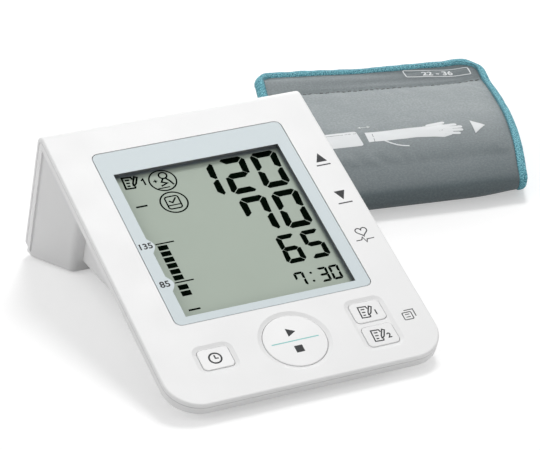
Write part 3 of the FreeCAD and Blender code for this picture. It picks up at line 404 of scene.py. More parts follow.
for name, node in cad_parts.items():
    slotName = node.data.materials[0].name.split(".")[0]
    node.data.materials[0] = coverWhite if name == "front_cover" else finishes[slotName]
    node.data.shade_smooth()
    node.data.set_sharp_from_angle(angle=radians(keenEdge))
print("finishes on", len(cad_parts), "nodes")


# flat drawings: a shape is points and faces in the plane, wound anticlockwise

def area(points):
    pairs = zip(points, points[1:] + points[:1])
    return sum(a[0] * b[1] - b[0] * a[1] for a, b in pairs) / 2


def wound(points, faces):
    return points, [f if area([points[i] for i in f]) > 0 else f[::-1] for f in faces]


def patch(points):
    points = [tuple(p) for p in points]
    return (points if area(points) > 0 else points[::-1], [tuple(range(len(points)))])


def arcPoints(x, y, radius, start, end, count):
    turns = [radians(start + (end - start) * i / count) for i in range(count + 1)]
    return [(x + radius * cos(t), y + radius * sin(t)) for t in turns]


def disc(x, y, radius, count=12):
    return patch(arcPoints(x, y, radius, 0, 360, count)[:-1])


def stroke(points, width, closed=False):
    points = [Vector(p) for p in points]
    count = len(points)
    left, right = [], []
    for i, point in enumerate(points):
        before = points[i - 1] if i or closed else None
        after = points[(i + 1) % count] if i < count - 1 or closed else None
        ways = [(b - a).normalized() for a, b in ((before, point), (point, after))
                if a is not None and b is not None]
        way = sum(ways, Vector((0, 0))).normalized()
        across = Vector((-way.y, way.x))
        reach = width / 2 / max(0.5, across.dot(Vector((-ways[0].y, ways[0].x))))
        left.append(tuple(point + across * reach))
        right.append(tuple(point - across * reach))
    ends = [(i, (i + 1) % count) for i in range(count if closed else count - 1)]
    return left + right, [(i, i + count, j + count, j) for i, j in ends]


def bar(x0, y0, x1, y1, width):
    return stroke([(x0, y0), (x1, y1)], width)


def ring(x, y, radius, width, count=48):
    return stroke(arcPoints(x, y, radius, 0, 360, count)[:-1], width, closed=True)


def roundedBox(x0, y0, x1, y1, radius, count=5):
    corners = ((x1 - radius, y1 - radius, 0), (x0 + radius, y1 - radius, 90),
               (x0 + radius, y0 + radius, 180), (x1 - radius, y0 + radius, 270))
    return [p for x, y, turn in corners for p in arcPoints(x, y, radius, turn, turn + 90, count)]


def numerals(text, size, x, y, thicken):
    data = bpy.data.curves.new("numerals", "FONT")
    data.body, data.size, data.offset, data.resolution_u = text, size, thicken, 6
    data.align_x = data.align_y = "CENTER"
    holder = hold("numerals", data)
    bpy.context.view_layer.update()
    mesh = bpy.data.meshes.new_from_object(holder)
    points = [(v.co.x + x, v.co.y + y) for v in mesh.vertices]
    faces = [tuple(p.vertices) for p in mesh.polygons]
    bpy.data.meshes.remove(mesh)
    bpy.data.curves.remove(data)
    return wound(points, faces)


def flatMesh(form):
    form.verts.index_update()
    points = [(v.co.x, v.co.y) for v in form.verts]
    faces = [tuple(v.index for v in face.verts) for face in form.faces]
    form.free()
    return points, faces


def slab(shape, low, high):
    points, faces = shape
    count = len(points)
    corners = [(x, y, high) for x, y in points] + [(x, y, low) for x, y in points]
    rim = set()
    for face in faces:
        for a, b in zip(face, face[1:] + face[:1]):
            if (b, a) in rim:
                rim.remove((b, a))
            else:
                rim.add((a, b))
    walls = [(b, a, a + count, b + count) for a, b in sorted(rim)]
    under = [tuple(i + count for i in reversed(f)) for f in faces]
    return corners, list(faces) + under + walls


def joined(slabs):
    points, faces = [], []
    for corners, sides in slabs:
        faces += [tuple(i + len(points) for i in f) for f in sides]
        points += corners
    return points, faces


def addPiece(name, points, faces, place, material, slot, body="root", spots=None, smooth=None):
    mesh = bpy.data.meshes.new(name)
    mesh.from_pydata([place @ Vector(p) for p in points], [], faces)
    mesh.validate()
    if spots:
        layer = mesh.uv_layers.new(name="weave")
        for loop in mesh.loops:
            layer.data[loop.index].uv = spots[loop.vertex_index]
    if smooth:
        mesh.shade_smooth()
        mesh.set_sharp_from_angle(angle=radians(smooth))
    mesh.materials.append(material)
    piece = hold(name, mesh)
    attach(piece, body)
    return piece


def addPrint(name, shapes, level, material, slot, thickness=0.02, **more):
    sunk = 0.01
    points, faces = joined(slab(shape, level - sunk, level + thickness) for shape in shapes)
    return addPiece(name, points, faces, panelFrame, material, slot, **more)


# display: seven-segment digits, bar scale and status icons

display = {"level": -3.2, "thickness": 0.04, "lean": 0.035, "gap": 0.26, "fullStroke": 3.5,
           "chamfer": 0.68, "notch": 0.45,
           # text, right, front, width, height, stroke and pitch of a row
           "rows": {"upperReading": ("120", 38.7, 114.0, 13.3, 22.8, 3.5, 16.1),
                    "lowerReading": ("70", 38.7, 87.9, 13.3, 23.4, 3.5, 16.1),
                    "pulseReading": ("65", 38.4, 67.9, 9.8, 17.3, 2.6, 11.9)},
           "clock": (("7", 16.0), ("3", 27.4), ("0", 33.1)), "clockSize": (53.8, 4.9, 8.6, 1.25),
           "colon": ((24.3, 60.5), (23.9, 55.7)), "dot": 0.62,
           "segments": {"0": "abcdef", "1": "bc", "2": "abdeg", "3": "abcdg", "5": "acdfg",
                        "6": "acdefg", "7": "abcf"}}


def addSegments(name, shapes):
    addPrint(name, shapes, display["level"], segmentBlack, "lcd_grey", display["thickness"])


def segmentShapes(digit, x, y, width, height, thick):
    gap = display["gap"] * thick / display["fullStroke"]
    cut, notch = display["chamfer"] * thick, display["notch"] * thick
    half, near, far = height / 2, (cut - gap) / 2, (cut + gap) / 2
    top = [(thick + gap, height - thick), (far, height - near), (cut, height),
           (width - cut, height), (width - far, height - near),
           (width - thick - gap, height - thick)]
    side = [(thick, height - thick - gap), (near, height - far), (0, height - cut),
            (0.12 * thick, half + 1.6 * gap), (notch, half + gap), (thick, half + 0.5 * thick + gap)]
    middle = [(notch, half), (thick, half + thick / 2), (width - thick, half + thick / 2),
              (width - notch, half), (width - thick, half - thick / 2), (thick, half - thick / 2)]
    outlines = {"a": top, "f": side, "g": middle, "b": [(width - px, py) for px, py in side]}
    for upper, lower in ("ad", "fe", "bc"):
        outlines[lower] = [(px, height - py) for px, py in outlines[upper]]
    return [patch([(x + px + display["lean"] * (py - half), y + py) for px, py in outlines[s]])
            for s in display["segments"][digit]]


def addReadings():
    for name, (text, right, y, width, height, thick, pitch) in display["rows"].items():
        shapes = []
        for place, digit in enumerate(text, 1 - len(text)):
            x = right + place * pitch - width
            shapes += segmentShapes(digit, x, y, width, height, thick)
        addSegments(name, shapes)
    shapes = [s for digit, x in display["clock"]
              for s in segmentShapes(digit, x, *display["clockSize"])]
    shapes += [disc(x, y, display["dot"]) for x, y in display["colon"]]
    addSegments("clockReading", shapes)


scale = {"x": -36.6, "width": 4.6, "blocks": 6, "top": 93.1, "pitch": 3.68, "block": 2.85,
         "lowTop": 68.9, "marks": (94.3, 70.6), "dashes": (117.9, 54.0)}


def addScale():
    x, right = scale["x"], scale["x"] + scale["width"]
    tops = [scale["top"] - i * scale["pitch"] for i in range(scale["blocks"])]
    tops += [scale["lowTop"], scale["lowTop"] - scale["pitch"]]
    shapes = []
    for top in tops:
        low = top - scale["block"]
        shapes.append(patch([(x, low), (right, low), (right, top), (x, top)]))
    shapes += [bar(x - 0.4, y, x + 8.5, y, 0.7) for y in scale["marks"]]
    shapes += [bar(x - 0.5, y, x + 5.0, y, 0.95) for y in scale["dashes"]]
    addSegments("barScale", shapes)


def noteShapes(x, y, size, width):
    # a sheet with three lines and a pencil
    drawing = [[(0.68, 0.74), (0.62, 0.96), (0.04, 1.0), (0, 0.04), (0.6, 0.0), (0.66, 0.14)],
               [(0.18, 0.76), (0.46, 0.74)], [(0.17, 0.5), (0.42, 0.48)], [(0.16, 0.24), (0.36, 0.23)],
               [(0.56, 0.16), (0.6, 0.42), (0.86, 0.94), (1.02, 0.84), (0.78, 0.34), (0.56, 0.16)]]
    return [stroke([(x + size * px, y + size * py) for px, py in line], width) for line in drawing]


def addStatusIcons():
    shapes = noteShapes(-37.3, 129.6, 7.2, 0.92)
    shapes += [stroke([(-28.8, 133.0), (-27.7, 134.0), (-27.7, 130.2)], 0.85)]
    shapes += [ring(-19.1, y, 6.35, 0.75) for y in (130.9, 116.8)]
    # a seated figure with a resting arm
    shapes += [ring(-18.0, 133.9, 1.9, 0.8, 20),
               stroke([(-17.2, 131.8), (-16.0, 130.0), (-14.9, 127.4)], 0.85),
               stroke([(-18.8, 131.8), (-20.0, 130.0), (-17.6, 128.9), (-20.9, 127.6)], 0.85),
               bar(-22.9, 126.4, -17.2, 126.4, 0.6), bar(-23.6, 131.2, -21.6, 131.2, 0.55),
               bar(-22.6, 132.2, -22.6, 130.2, 0.55)]
    # a rolled cuff with a tick
    shapes += [stroke(roundedBox(-22.6, 113.0, -16.2, 120.6, 1.2), 0.7, closed=True),
               bar(-22.3, 115.2, -16.6, 115.2, 0.6),
               stroke([(-21.2, 118.0), (-19.8, 116.7), (-17.4, 119.5)], 0.75)]
    addSegments("statusIcons", shapes)


addReadings()
addScale()
addStatusIcons()
print("display drawn")


# window mask with a tab behind each scale number

mask = {"side": 46.95, "front": 44.45, "back": 151.05, "corner": 3.1,
        "view": (-41.15, 40.55, 48.5, 137.15), "low": -0.29, "high": -0.1,
        "tabs": (91.6, 68.3), "tabReach": 2.3, "tabHalf": 4.5, "tabSteps": 24}


def addMask():
    outer = roundedBox(-mask["side"], mask["front"], mask["side"], mask["back"], mask["corner"], 8)
    x0, x1, y0, y1 = mask["view"]
    left = []
    for y in sorted(mask["tabs"]):
        for i in range(mask["tabSteps"] + 1):
            share = i / mask["tabSteps"]
            bulge = mask["tabReach"] * (0.5 - 0.5 * cos(2 * pi * share)) ** 0.6
            left.append((x0 + bulge, y + mask["tabHalf"] * (2 * share - 1)))
    inner = [(x1, y0), (x1, y1), (x0, y1)] + left[::-1] + [(x0, y0)]
    form = bmesh.new()
    loops = []
    for ringPoints in (outer, inner):
        corners = [form.verts.new((x, y, 0)) for x, y in ringPoints]
        loops += [form.edges.new((a, b)) for a, b in zip(corners, corners[1:] + corners[:1])]
    bmesh.ops.triangle_fill(form, edges=loops, use_beauty=True, normal=(0, 0, 1))
    shape = wound(*flatMesh(form))
    piece = addPiece("maskPrint", *slab(shape, mask["low"], mask["high"]), panelFrame,
        finishes["mask_blue"], "mask_blue")
    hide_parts("window_mask")
    shapes = [numerals("135", 4.7, -43.2, 91.7, 0.12), numerals("85", 4.9, -43.0, 68.4, 0.12)]
    addPrint("scaleNumbers", shapes, mask["high"] + 0.01, inkDark, "mask_blue", 0.005)


addMask()


# prints on the cover and the keys

def heartPoints(x, y, size, count=40):
    points = []
    for i in range(count):
        t = 2 * pi * i / count
        high = 13 * cos(t) - 5 * cos(2 * t) - 2 * cos(3 * t) - cos(4 * t)
        points.append((x + size * sin(t) ** 3 / 2, y + size * high / 32))
    return points


def addCoverPrints():
    upper = patch([(53.4, 121.0), (58.8, 121.0), (56.1, 126.6)])
    lower = patch([(53.4, 101.6), (58.8, 101.6), (56.1, 96.0)])
    trace = [(50.9, 70.4), (53.6, 70.4), (54.5, 72.0), (55.5, 68.7), (56.3, 70.4), (59.8, 70.4)]
    marks = {
        "upperMark": [upper, bar(52.6, 118.9, 59.6, 118.9, 0.7)],
        "lowerMark": [lower, bar(52.6, 93.9, 59.6, 93.9, 0.7)],
        "pulseMark": [stroke(heartPoints(55.6, 75.3, 5.6), 0.55, closed=True), stroke(trace, 0.5)],
        "memoryMark": [stroke(roundedBox(52.3, 20.9, 56.6, 25.0, 0.5), 0.45, closed=True),
                       stroke([(53.8, 26.2), (58.1, 26.2), (58.1, 22.0)], 0.45),
                       bar(53.4, 23.8, 55.6, 23.8, 0.4), bar(53.4, 22.3, 55.6, 22.3, 0.4)]}
    for name, shapes in marks.items():
        addPrint(name, shapes, 0.0, inkDark, "case_white")


def addKeyPrint(name, shapes, body, material=inkDark):
    keyLevel = -0.2
    addPrint(name, shapes, keyLevel, material, "key_white", body=body)


def addKeyPrints():
    addKeyPrint("startMarks", [patch([(-1.9, 26.0), (-1.9, 30.6), (2.2, 28.3)]),
                patch([(-1.9, 16.6), (1.9, 16.6), (1.9, 20.4), (-1.9, 20.4)])], "start_key")
    addKeyPrint("startLine", [bar(-11.2, 23.3, 11.2, 23.3, 0.6)], "start_key", inkTeal)
    addKeyPrint("clockMark", [ring(-37.6, 23.3, 2.75, 0.8, 36),
                stroke([(-37.6, 25.0), (-37.6, 23.2), (-36.1, 23.0)], 0.65)], "clock_key")
    for number, y in (("1", 27.0), ("2", 13.0)):
        shapes = noteShapes(34.2, y, 6.4, 0.62) + [numerals(number, 3.9, 41.6, y + 1.9, 0.12)]
        addKeyPrint("memory%sMark" % number, shapes, "memory_%s_key" % number)


addCoverPrints()
addKeyPrints()
print("prints drawn")


# cuff: a strip wound in four layers; x runs along its front fold and s along the strip,
# with s equal to y on the top layer and falling round the front fold, underneath and inside

cuff = {"front": 116.6, "leftLean": 5.8, "rightLean": 7.9, "leftEnd": 131.4, "rightEnd": 124.6,
        "leftFlare": 2.4, "rightBow": 3.5, "bowEnd": 118, "leftCorner": 9.0, "rightCorner": 15.0,
        "top": 21.5, "foldReach": 56.0, "foldPush": 7.0, "knee": 122.0, "tip": 40, "droop": 13.2,
        "backFold": 102.4, "backRadius": 7.9, "innerFold": 34.0, "innerRadius": 5.05,
        "tail": 88.0, "tailCorner": 6.0, "cloth": 1.2, "pad": 1.8, "lining": 1.4,
        "padMargin": 14.0, "padEnd": -250.0, "binding": 3.8, "seam": 111.0, "seamFall": 0.075,
        "under": -15, "widening": 8, "rounding": 12}


def step(value, low, high):
    share = min(1.0, max(0.0, (value - low) / (high - low)))
    return share * share * (3 - 2 * share)


def leftEdge(y):
    flare = cuff["leftFlare"] * step(y, 60, cuff["bowEnd"])
    return tan(radians(cuff["leftLean"])) * y - flare


def rightEdge(y):
    bow = sin(pi * min(1.35, max(0.0, y) / cuff["bowEnd"]))
    return cuff["front"] + tan(radians(cuff["rightLean"])) * y + cuff["rightBow"] * bow


def arcRoute(y, z, along, up, start, end, pitch):
    circle = arcPoints(0, 0, 1, start, end, round(abs(end - start) / pitch))
    return [Vector((y + along * c, z + up * s)) for c, s in circle]


def windingRoute():
    top, reach, knee, inner = (cuff[k] for k in ("top", "foldReach", "knee", "innerRadius"))
    half, push, droop = top / 2, cuff["foldPush"], radians(cuff["droop"])
    line = [Vector((knee + d * cos(droop), top - d * sin(droop))) for d in range(cuff["tip"], 0, -1)]
    line += [Vector((knee - d, top)) for d in range(int(knee - reach))]
    line += arcRoute(reach, half, reach + push, half, 90, 180, 3)
    line += arcRoute(push, half, 2 * push, half, 180, 270, 3)[1:]
    line += arcRoute(cuff["backFold"], *[cuff["backRadius"]] * 3, -90, 90, 5)
    line += arcRoute(cuff["innerFold"], half, inner, inner, 90, 270, 6)
    line.append(Vector((cuff["tail"], half - inner)))
    return line


route = windingRoute()
stations = [cuff["knee"] + cuff["tip"]]
for before, after in zip(route, route[1:]):
    stations.append(stations[-1] - (after - before).length)
tailEnd = stations[-1]


def routeAt(s):
    low, high = 0, len(route) - 1
    while high - low > 1:
        middle = (low + high) // 2
        low, high = (middle, high) if stations[middle] > s else (low, middle)
    return route[low].lerp(route[high], (stations[low] - s) / (stations[low] - stations[high]))


def ripple(x, s, size, seed):
    return noise.noise(Vector((x / size, s / size, seed)))


def seamAt(x):
    return cuff["seam"] - cuff["seamFall"] * x


def endAt(x):
    left, right = leftEdge(cuff["leftEnd"]), rightEdge(cuff["rightEnd"])
    share = (x - left) / (right - left)
    return cuff["leftEnd"] + (cuff["rightEnd"] - cuff["leftEnd"]) * share


relief = {"crown": 1.4, "groove": 1.1, "grooveWidth": 1.5, "dip": 1.6, "rise": 2.6, "curl": 2.4,
          "curlLength": 7.5, "corner": 1.2, "slack": 0.35, "crease": 0.13, "pucker": 0.16,
          "puckerWidth": 3.5, "pinch": 1.9, "pinchPlace": -18, "pinchLength": 22}
puff = {"most": 1.2, "columns": 46, "rows": 40, "first": 12.0, "inset": 5, "frames": 25,
        "cloth": {"use_pressure": True, "uniform_pressure_force": 1.2, "shrink_min": -0.012,
                  "tension_stiffness": 30, "bending_stiffness": 0.6}}
puffed = []


def reliefAt(x, s):
    # height of the outer cloth over the winding: crown, seam, raised end, creases and puckers
    pinch = relief["pinch"] * step(x - rightEdge(0), -28, 2) * exp(
        -((s - relief["pinchPlace"]) / relief["pinchLength"]) ** 2)
    if s < cuff["under"]:
        return -pinch
    away, end = seamAt(x) - s, endAt(x)
    inside = step(min(x - leftEdge(s), rightEdge(s) - x), 3, 20)
    height = relief["crown"] * inside * step(away, 0, 14) * step(s, -10, 40)
    groove = relief["groove"] * exp(-(away / relief["grooveWidth"]) ** 2)
    height -= groove * (0.15 + 0.85 * inside)
    height -= relief["dip"] * inside * step(-away, -2, 8) * step(x, 20, 90)
    height += relief["rise"] * step(-away, -1 - 2 * (1 - inside), 13)
    curled = max(0.0, s - end + relief["curlLength"]) / relief["curlLength"]
    height += relief["curl"] * curled ** 1.5
    height += relief["corner"] * step(s, 102, 136) * step(70 - x, 0, 62)
    loose = step(s, cuff["under"], 20) * (0.4 + 0.6 * inside)
    height += loose * relief["slack"] * ripple(x * 0.8, s * 1.3, 21.0, 3.3)
    height += loose * relief["crease"] * ripple(x, s, 6.0, 9.1)
    pucker = sin(x * 1.25 + 2.4 * ripple(x, s, 9.0, 5.7))
    pucker *= exp(-abs(away) / relief["puckerWidth"])
    return height + relief["pucker"] * pucker + puffAt(x, s) - pinch


def surface(x, s, depth):
    point, ahead = routeAt(s), (routeAt(s - 0.8) - routeAt(s + 0.8)).normalized()
    out = point + Vector((ahead.y, -ahead.x)) * (reliefAt(x, s) - depth)
    return Vector((x, out.x, out.y))


def stripGrid(inset, columns, spacing, end=None):
    # rows of places on the strip; above the level one they fan out to the rounded end
    sides = [i / columns for i in range(columns + 1)]
    level, fan, probe, coarse = 100.0, 44, 132.0, 4.0

    def across(share, s):
        y = routeAt(s).x
        left, right = leftEdge(y) + inset, rightEdge(y) - inset
        return left + (right - left) * share

    def lastStation(share):
        x = across(share, probe)
        near, corner = min((x - across(0, probe), cuff["leftCorner"] - inset),
                           (across(1, probe) - x, cuff["rightCorner"] - inset))
        corner = max(1.0, corner)
        rounding = corner - sqrt(max(0.0, corner ** 2 - max(0.0, corner - near) ** 2))
        return endAt(x) - inset - rounding

    steps = round(fan / spacing)
    rows = [[(share, level + (lastStation(share) - level) * (1 - i / steps)) for share in sides]
            for i in range(steps)]
    low = (tailEnd + inset) if end is None else end
    s = level
    while s > low:
        rows.append([(share, s) for share in sides])
        s -= spacing if s > cuff["under"] else coarse
    rows.append([(share, low) for share in sides])
    return [[(across(share, s), s) for share, s in row] for row in rows]


def addLayer(name, grid, near, far, slot):
    wide, spots = len(grid[0]), [place for row in grid for place in row]
    tiles = [(a, a + wide, a + wide + 1, a + 1) for j in range(len(grid) - 1)
             for a in range(j * wide, (j + 1) * wide - 1)]
    corners, faces = slab((spots, tiles), -far, -near)
    points = [surface(x, s, -level) for x, s, level in corners]
    return addPiece(name, points, faces, cuffFrame, finishes[slot], slot, spots=spots * 2, smooth=50)


def addCuffLayers():
    cloth, pad = cuff["cloth"], cuff["cloth"] + cuff["pad"]
    under, gap = cuff["binding"] - 0.3, 0.02
    outer = addLayer("outerCloth", stripGrid(under, 68, 1.8), 0.0, cloth, "cloth_grey")
    lining = addLayer("innerCloth", stripGrid(under, 40, 3.0), pad, pad + cuff["lining"],
                      "cloth_inner")
    bladder = addLayer("bladderPad", stripGrid(cuff["padMargin"], 30, 3.0, cuff["padEnd"]),
                       cloth + gap, pad - gap, "bladder_rubber")
    # both cloths have the mean width and length of the strip
    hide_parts("cuff_outer_cloth")
    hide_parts("cuff_inner_cloth")
    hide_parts("cuff_bladder")


def edgeLean(edge, y):
    # how far an edge leans from straight back
    return atan2(edge(y + 2) - edge(y - 2), 4)


def outlineStops():
    # stops along the strip's outline: x, s and the way inwards
    leftCorner, rightCorner, tailCorner = (cuff[k + "Corner"] for k in ("left", "right", "tail"))
    leanLeft = edgeLean(leftEdge, cuff["leftEnd"] - leftCorner)
    leanRight = edgeLean(rightEdge, cuff["rightEnd"] - rightCorner)
    left, right = (Vector((edge(s), s)) for edge, s in ((leftEdge, cuff["leftEnd"]),
                                                       (rightEdge, cuff["rightEnd"])))
    fall = (right - left).normalized()
    inwards = Vector((fall.y, -fall.x))
    backTurn = degrees(atan2(-inwards.y, -inwards.x))
    pullLeft = leftCorner * tan(radians(180 - backTurn) / 2 - leanLeft / 2)
    pullRight = rightCorner * tan(radians(backTurn) / 2 + leanRight / 2)
    centreLeft = left + fall * pullLeft + inwards * leftCorner
    centreRight = right - fall * pullRight + inwards * rightCorner
    tailY, tailSide = routeAt(tailEnd).x, tailEnd + tailCorner
    tailLeft, tailRight = leftEdge(tailY) + tailCorner, rightEdge(tailY) - tailCorner
    stops, pitch, turnPitch = [], 2.4, 8

    def side(edge, way, start, end):
        count = round(abs(end - start) / pitch)
        for i in range(count + 1):
            s = start + (end - start) * i / count
            stops.append((edge(routeAt(s).x), s, Vector((way, 0))))

    def turn(centre, radius, start, end):
        count = round(abs(end - start) / turnPitch)
        for x, s in arcPoints(*centre, radius, start, end, count)[1:-1]:
            stops.append((x, s, (Vector(centre) - Vector((x, s))) / radius))

    def straight(first, last, way, count):
        for i in range(count + 1):
            stops.append((*first.lerp(last, i / count), way))

    side(rightEdge, -1, tailSide, centreRight.y)
    turn(centreRight, rightCorner, -degrees(leanRight), backTurn)
    first, last = centreRight - inwards * rightCorner, centreLeft - inwards * leftCorner
    straight(first, last, inwards, round((last - first).length / pitch))
    turn(centreLeft, leftCorner, backTurn, 180 - degrees(leanLeft))
    side(leftEdge, 1, centreLeft.y, tailSide)
    turn((tailLeft, tailSide), tailCorner, 180, 270)
    straight(Vector((tailLeft, tailEnd)), Vector((tailRight, tailEnd)), Vector((0, 1)), 30)
    turn((tailRight, tailSide), tailCorner, 270, 360)
    return stops


# distance in from the strip's edge and depth below its face, round the folded tape
bindingSection = [(4.9, 0.15), (4.8, -0.7), (4.2, -1.15), (3.2, -1.3), (2.0, -1.15), (0.7, -0.6),
                  (-0.5, 0.5), (-1.0, 1.5), (-1.0, 2.9), (-0.5, 3.95), (0.7, 4.6), (2.0, 4.95),
                  (3.2, 5.0), (4.2, 4.9), (4.8, 4.75), (4.9, 4.4)]
binding = {"sideWidth": 0.8, "lumps": 0.35, "lumpSize": 7.0, "lowest": -0.25}


def lipAt(s):
    # the tape lies flatter towards the front fold
    return 0.4 + 0.6 * step(s, 0, 50)


def addBinding():
    stops = outlineStops()
    points, spots, run = [], [], 0.0
    for k, (x, s, way) in enumerate(stops):
        if k:
            run += hypot(x - stops[k - 1][0], s - stops[k - 1][1])
        narrow = binding["sideWidth"] + (1 - binding["sideWidth"]) * abs(way.y)
        lump = binding["lumps"] * ripple(run, 0, binding["lumpSize"], 2.2)
        for inset, depth in bindingSection:
            inset *= narrow
            fat = lump if depth < 2 else -lump
            if depth < 0:
                depth *= lipAt(s)
            spot = surface(x + way.x * inset, s + way.y * inset, depth - fat)
            points.append(Vector((spot.x, spot.y, max(spot.z, binding["lowest"]))))
            spots.append((inset + depth, run))
    wide, count = len(bindingSection), len(stops)
    faces = []
    for k in range(count):
        a, b = k * wide, (k + 1) % count * wide
        faces += [(a + i, b + i, b + (i + 1) % wide, a + (i + 1) % wide) for i in range(wide)]
    piece = addPiece("edgeBinding", points, faces, cuffFrame, finishes["binding_teal"],
        "binding_teal", spots=spots, smooth=70)
    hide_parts("cuff_binding")


def puffTop():
    # the padded zone swells between the front fold and the seam, pinned round its edge
    columns, rows, first, inset = (puff[k] for k in ("columns", "rows", "first", "inset"))
    grid, scale = [], 0.01
    for j in range(rows + 1):
        for i in range(columns + 1):
            share, x = i / columns, 60.0
            for _ in range(3):
                s = first + (seamAt(x) - first) * j / rows
                y = routeAt(s).x
                x = leftEdge(y) + inset + (rightEdge(y) - leftEdge(y) - 2 * inset) * share
            grid.append((x, s))
    flat = [surface(x, s, 0.0) for x, s in grid]
    lifted = [surface(x, s, -1.0) for x, s in grid]
    wide = columns + 1
    faces = [(j * wide + i, j * wide + i + 1, (j + 1) * wide + i + 1, (j + 1) * wide + i)
             for j in range(rows) for i in range(columns)]
    mesh = bpy.data.meshes.new("puff")
    mesh.from_pydata([p * scale for p in flat], [], faces)
    holder = hold("puff", mesh)
    edge = [k for k in range(len(grid)) if k % wide in (0, columns) or k // wide in (0, rows)]
    holder.vertex_groups.new(name="pin").add(edge, 1.0, "REPLACE")
    settings = holder.modifiers.new("cloth", "CLOTH").settings
    settings.vertex_group_mass = "pin"
    settings.effector_weights.gravity = 0
    for key, value in puff["cloth"].items():
        setattr(settings, key, value)
    for number in range(1, puff["frames"] + 1):
        scene.frame_set(number)
    view = holder.evaluated_get(bpy.context.evaluated_depsgraph_get())
    out = [(b - a).dot(v.co / scale - a) for a, b, v in zip(flat, lifted, view.data.vertices)]
    swell = [puff["most"] * tanh(o / puff["most"]) for o in out]
    scene.frame_set(1)
    bpy.data.meshes.remove(mesh)
    print("top swelled by", round(min(swell), 2), "to", round(max(swell), 2), "mm")
    puffed.extend(swell[j * wide:(j + 1) * wide] for j in range(rows + 1))


def puffAt(x, s):
    if not puffed:
        return 0.0
    y, inset, first = routeAt(s).x, puff["inset"], puff["first"]
    across = (x - leftEdge(y) - inset) / (rightEdge(y) - leftEdge(y) - 2 * inset)
    column, row = across * puff["columns"], (s - first) / (seamAt(x) - first) * puff["rows"]
    i, j = floor(column), floor(row)
    if not (0 <= i < puff["columns"] and 0 <= j < puff["rows"]):
        return 0.0
    a, b = column - i, row - j
    near, far = (puffed[k][i] * (1 - a) + puffed[k][i + 1] * a for k in (j, j + 1))
    return near * (1 - b) + far * b


def fineShape(shape, longest=2.4):
    form = bmesh.new()
    corners = [form.verts.new((x, y, 0)) for x, y in shape[0]]
    for face in shape[1]:
        form.faces.new([corners[i] for i in face])
    bmesh.ops.triangulate(form, faces=form.faces)
    for _ in range(6):
        tooLong = [e for e in form.edges if e.calc_length() > longest]
        if tooLong:
            bmesh.ops.subdivide_edges(form, edges=tooLong, cuts=1)
            bmesh.ops.triangulate(form, faces=[f for f in form.faces if len(f.verts) > 3])
    return flatMesh(form)


def addCuffPrint(name, shapes, material, lower=0.0):
    # each shape lies a little higher than the one before
    sunk, thickness, rise = 0.02, 0.05, 0.012
    corners, faces = joined(slab(fineShape(shape), -sunk, thickness + rise * k)
        for k, shape in enumerate(shapes))
    points = [surface(x, s - lower, -level) for x, s, level in corners]
    addPiece(name, points, faces, cuffFrame, material, "cloth_grey")


def capsule(x0, y0, x1, y1, width):
    turn = degrees(atan2(y1 - y0, x1 - x0))
    return patch(arcPoints(x1, y1, width / 2, turn - 90, turn + 90, 8)
        + arcPoints(x0, y0, width / 2, turn + 90, turn + 270, 8))


guide = {
    "lower": 6.0,
    "arm": [(46.0, 49.4), (45.4, 39.0), (58, 38.4), (70, 38.6), (78, 37.4), (84, 35.8),
            (88.4, 37.2), (90.6, 41.4), (90.2, 46.2), (87.0, 49.6), (82, 49.6), (76, 48.8),
            (64, 49.2)],
    "fingers": [(86.5, 47.6, 92.8, 47.6, 2.6), (87.5, 44.8, 94.8, 44.4, 2.6),
                (87.5, 42.0, 94.4, 41.3, 2.5), (86.5, 39.3, 92.2, 38.2, 2.3),
                (79.5, 49.4, 87.6, 51.2, 2.4)]}
label = {"box": (90.5, 111.5, 124.5, 118.6), "corner": 0.8, "shift": 3.0, "slant": 0.19,
         "pivot": 90, "size": 5.6, "middle": (107.5, 114.3)}


def slanted(points):
    return [(x, s + label["shift"] - label["slant"] * (x - label["pivot"])) for x, s in points]


def addCuffPrints():
    shapes = [patch(roundedBox(14.0, 36.4, 42.0, 51.8, 1.6)), patch(guide["arm"])]
    shapes += [capsule(*finger) for finger in guide["fingers"]]
    shapes += [stroke(arcPoints(66.0, 45.0, 14.0, 205, 262, 12), 0.9),
               patch([(102.0, 50.0), (100.6, 36.2), (108.0, 43.4)]),
               bar(44.4, 55.6, 50.4, 55.6, 0.4), patch([(44.0, 55.6), (45.6, 54.7), (45.6, 56.5)]),
               patch([(50.8, 55.6), (49.2, 56.5), (49.2, 54.7)])]
    addCuffPrint("wearingGuide", shapes, inkWhite, guide["lower"])
    wrist = stroke([(83.0, 42.0), (85.4, 43.0), (87.4, 44.8), (88.2, 46.4)], 0.35)
    shapes = [bar(15.0, 49.4, 41.6, 49.4, 0.5), wrist, bar(49.4, 47.4, 49.0, 43.8, 0.35),
              bar(48.8, 42.2, 48.4, 38.8, 0.35)]
    addCuffPrint("guideLines", shapes, inkGrey, guide["lower"])
    band = slanted(roundedBox(*label["box"], label["corner"]))
    marks, faces = numerals("22 - 36", label["size"], *label["middle"], 0.14)
    addCuffPrint("sizeRange", [stroke(band, 0.55, closed=True), (slanted(marks), faces)], inkWhite)


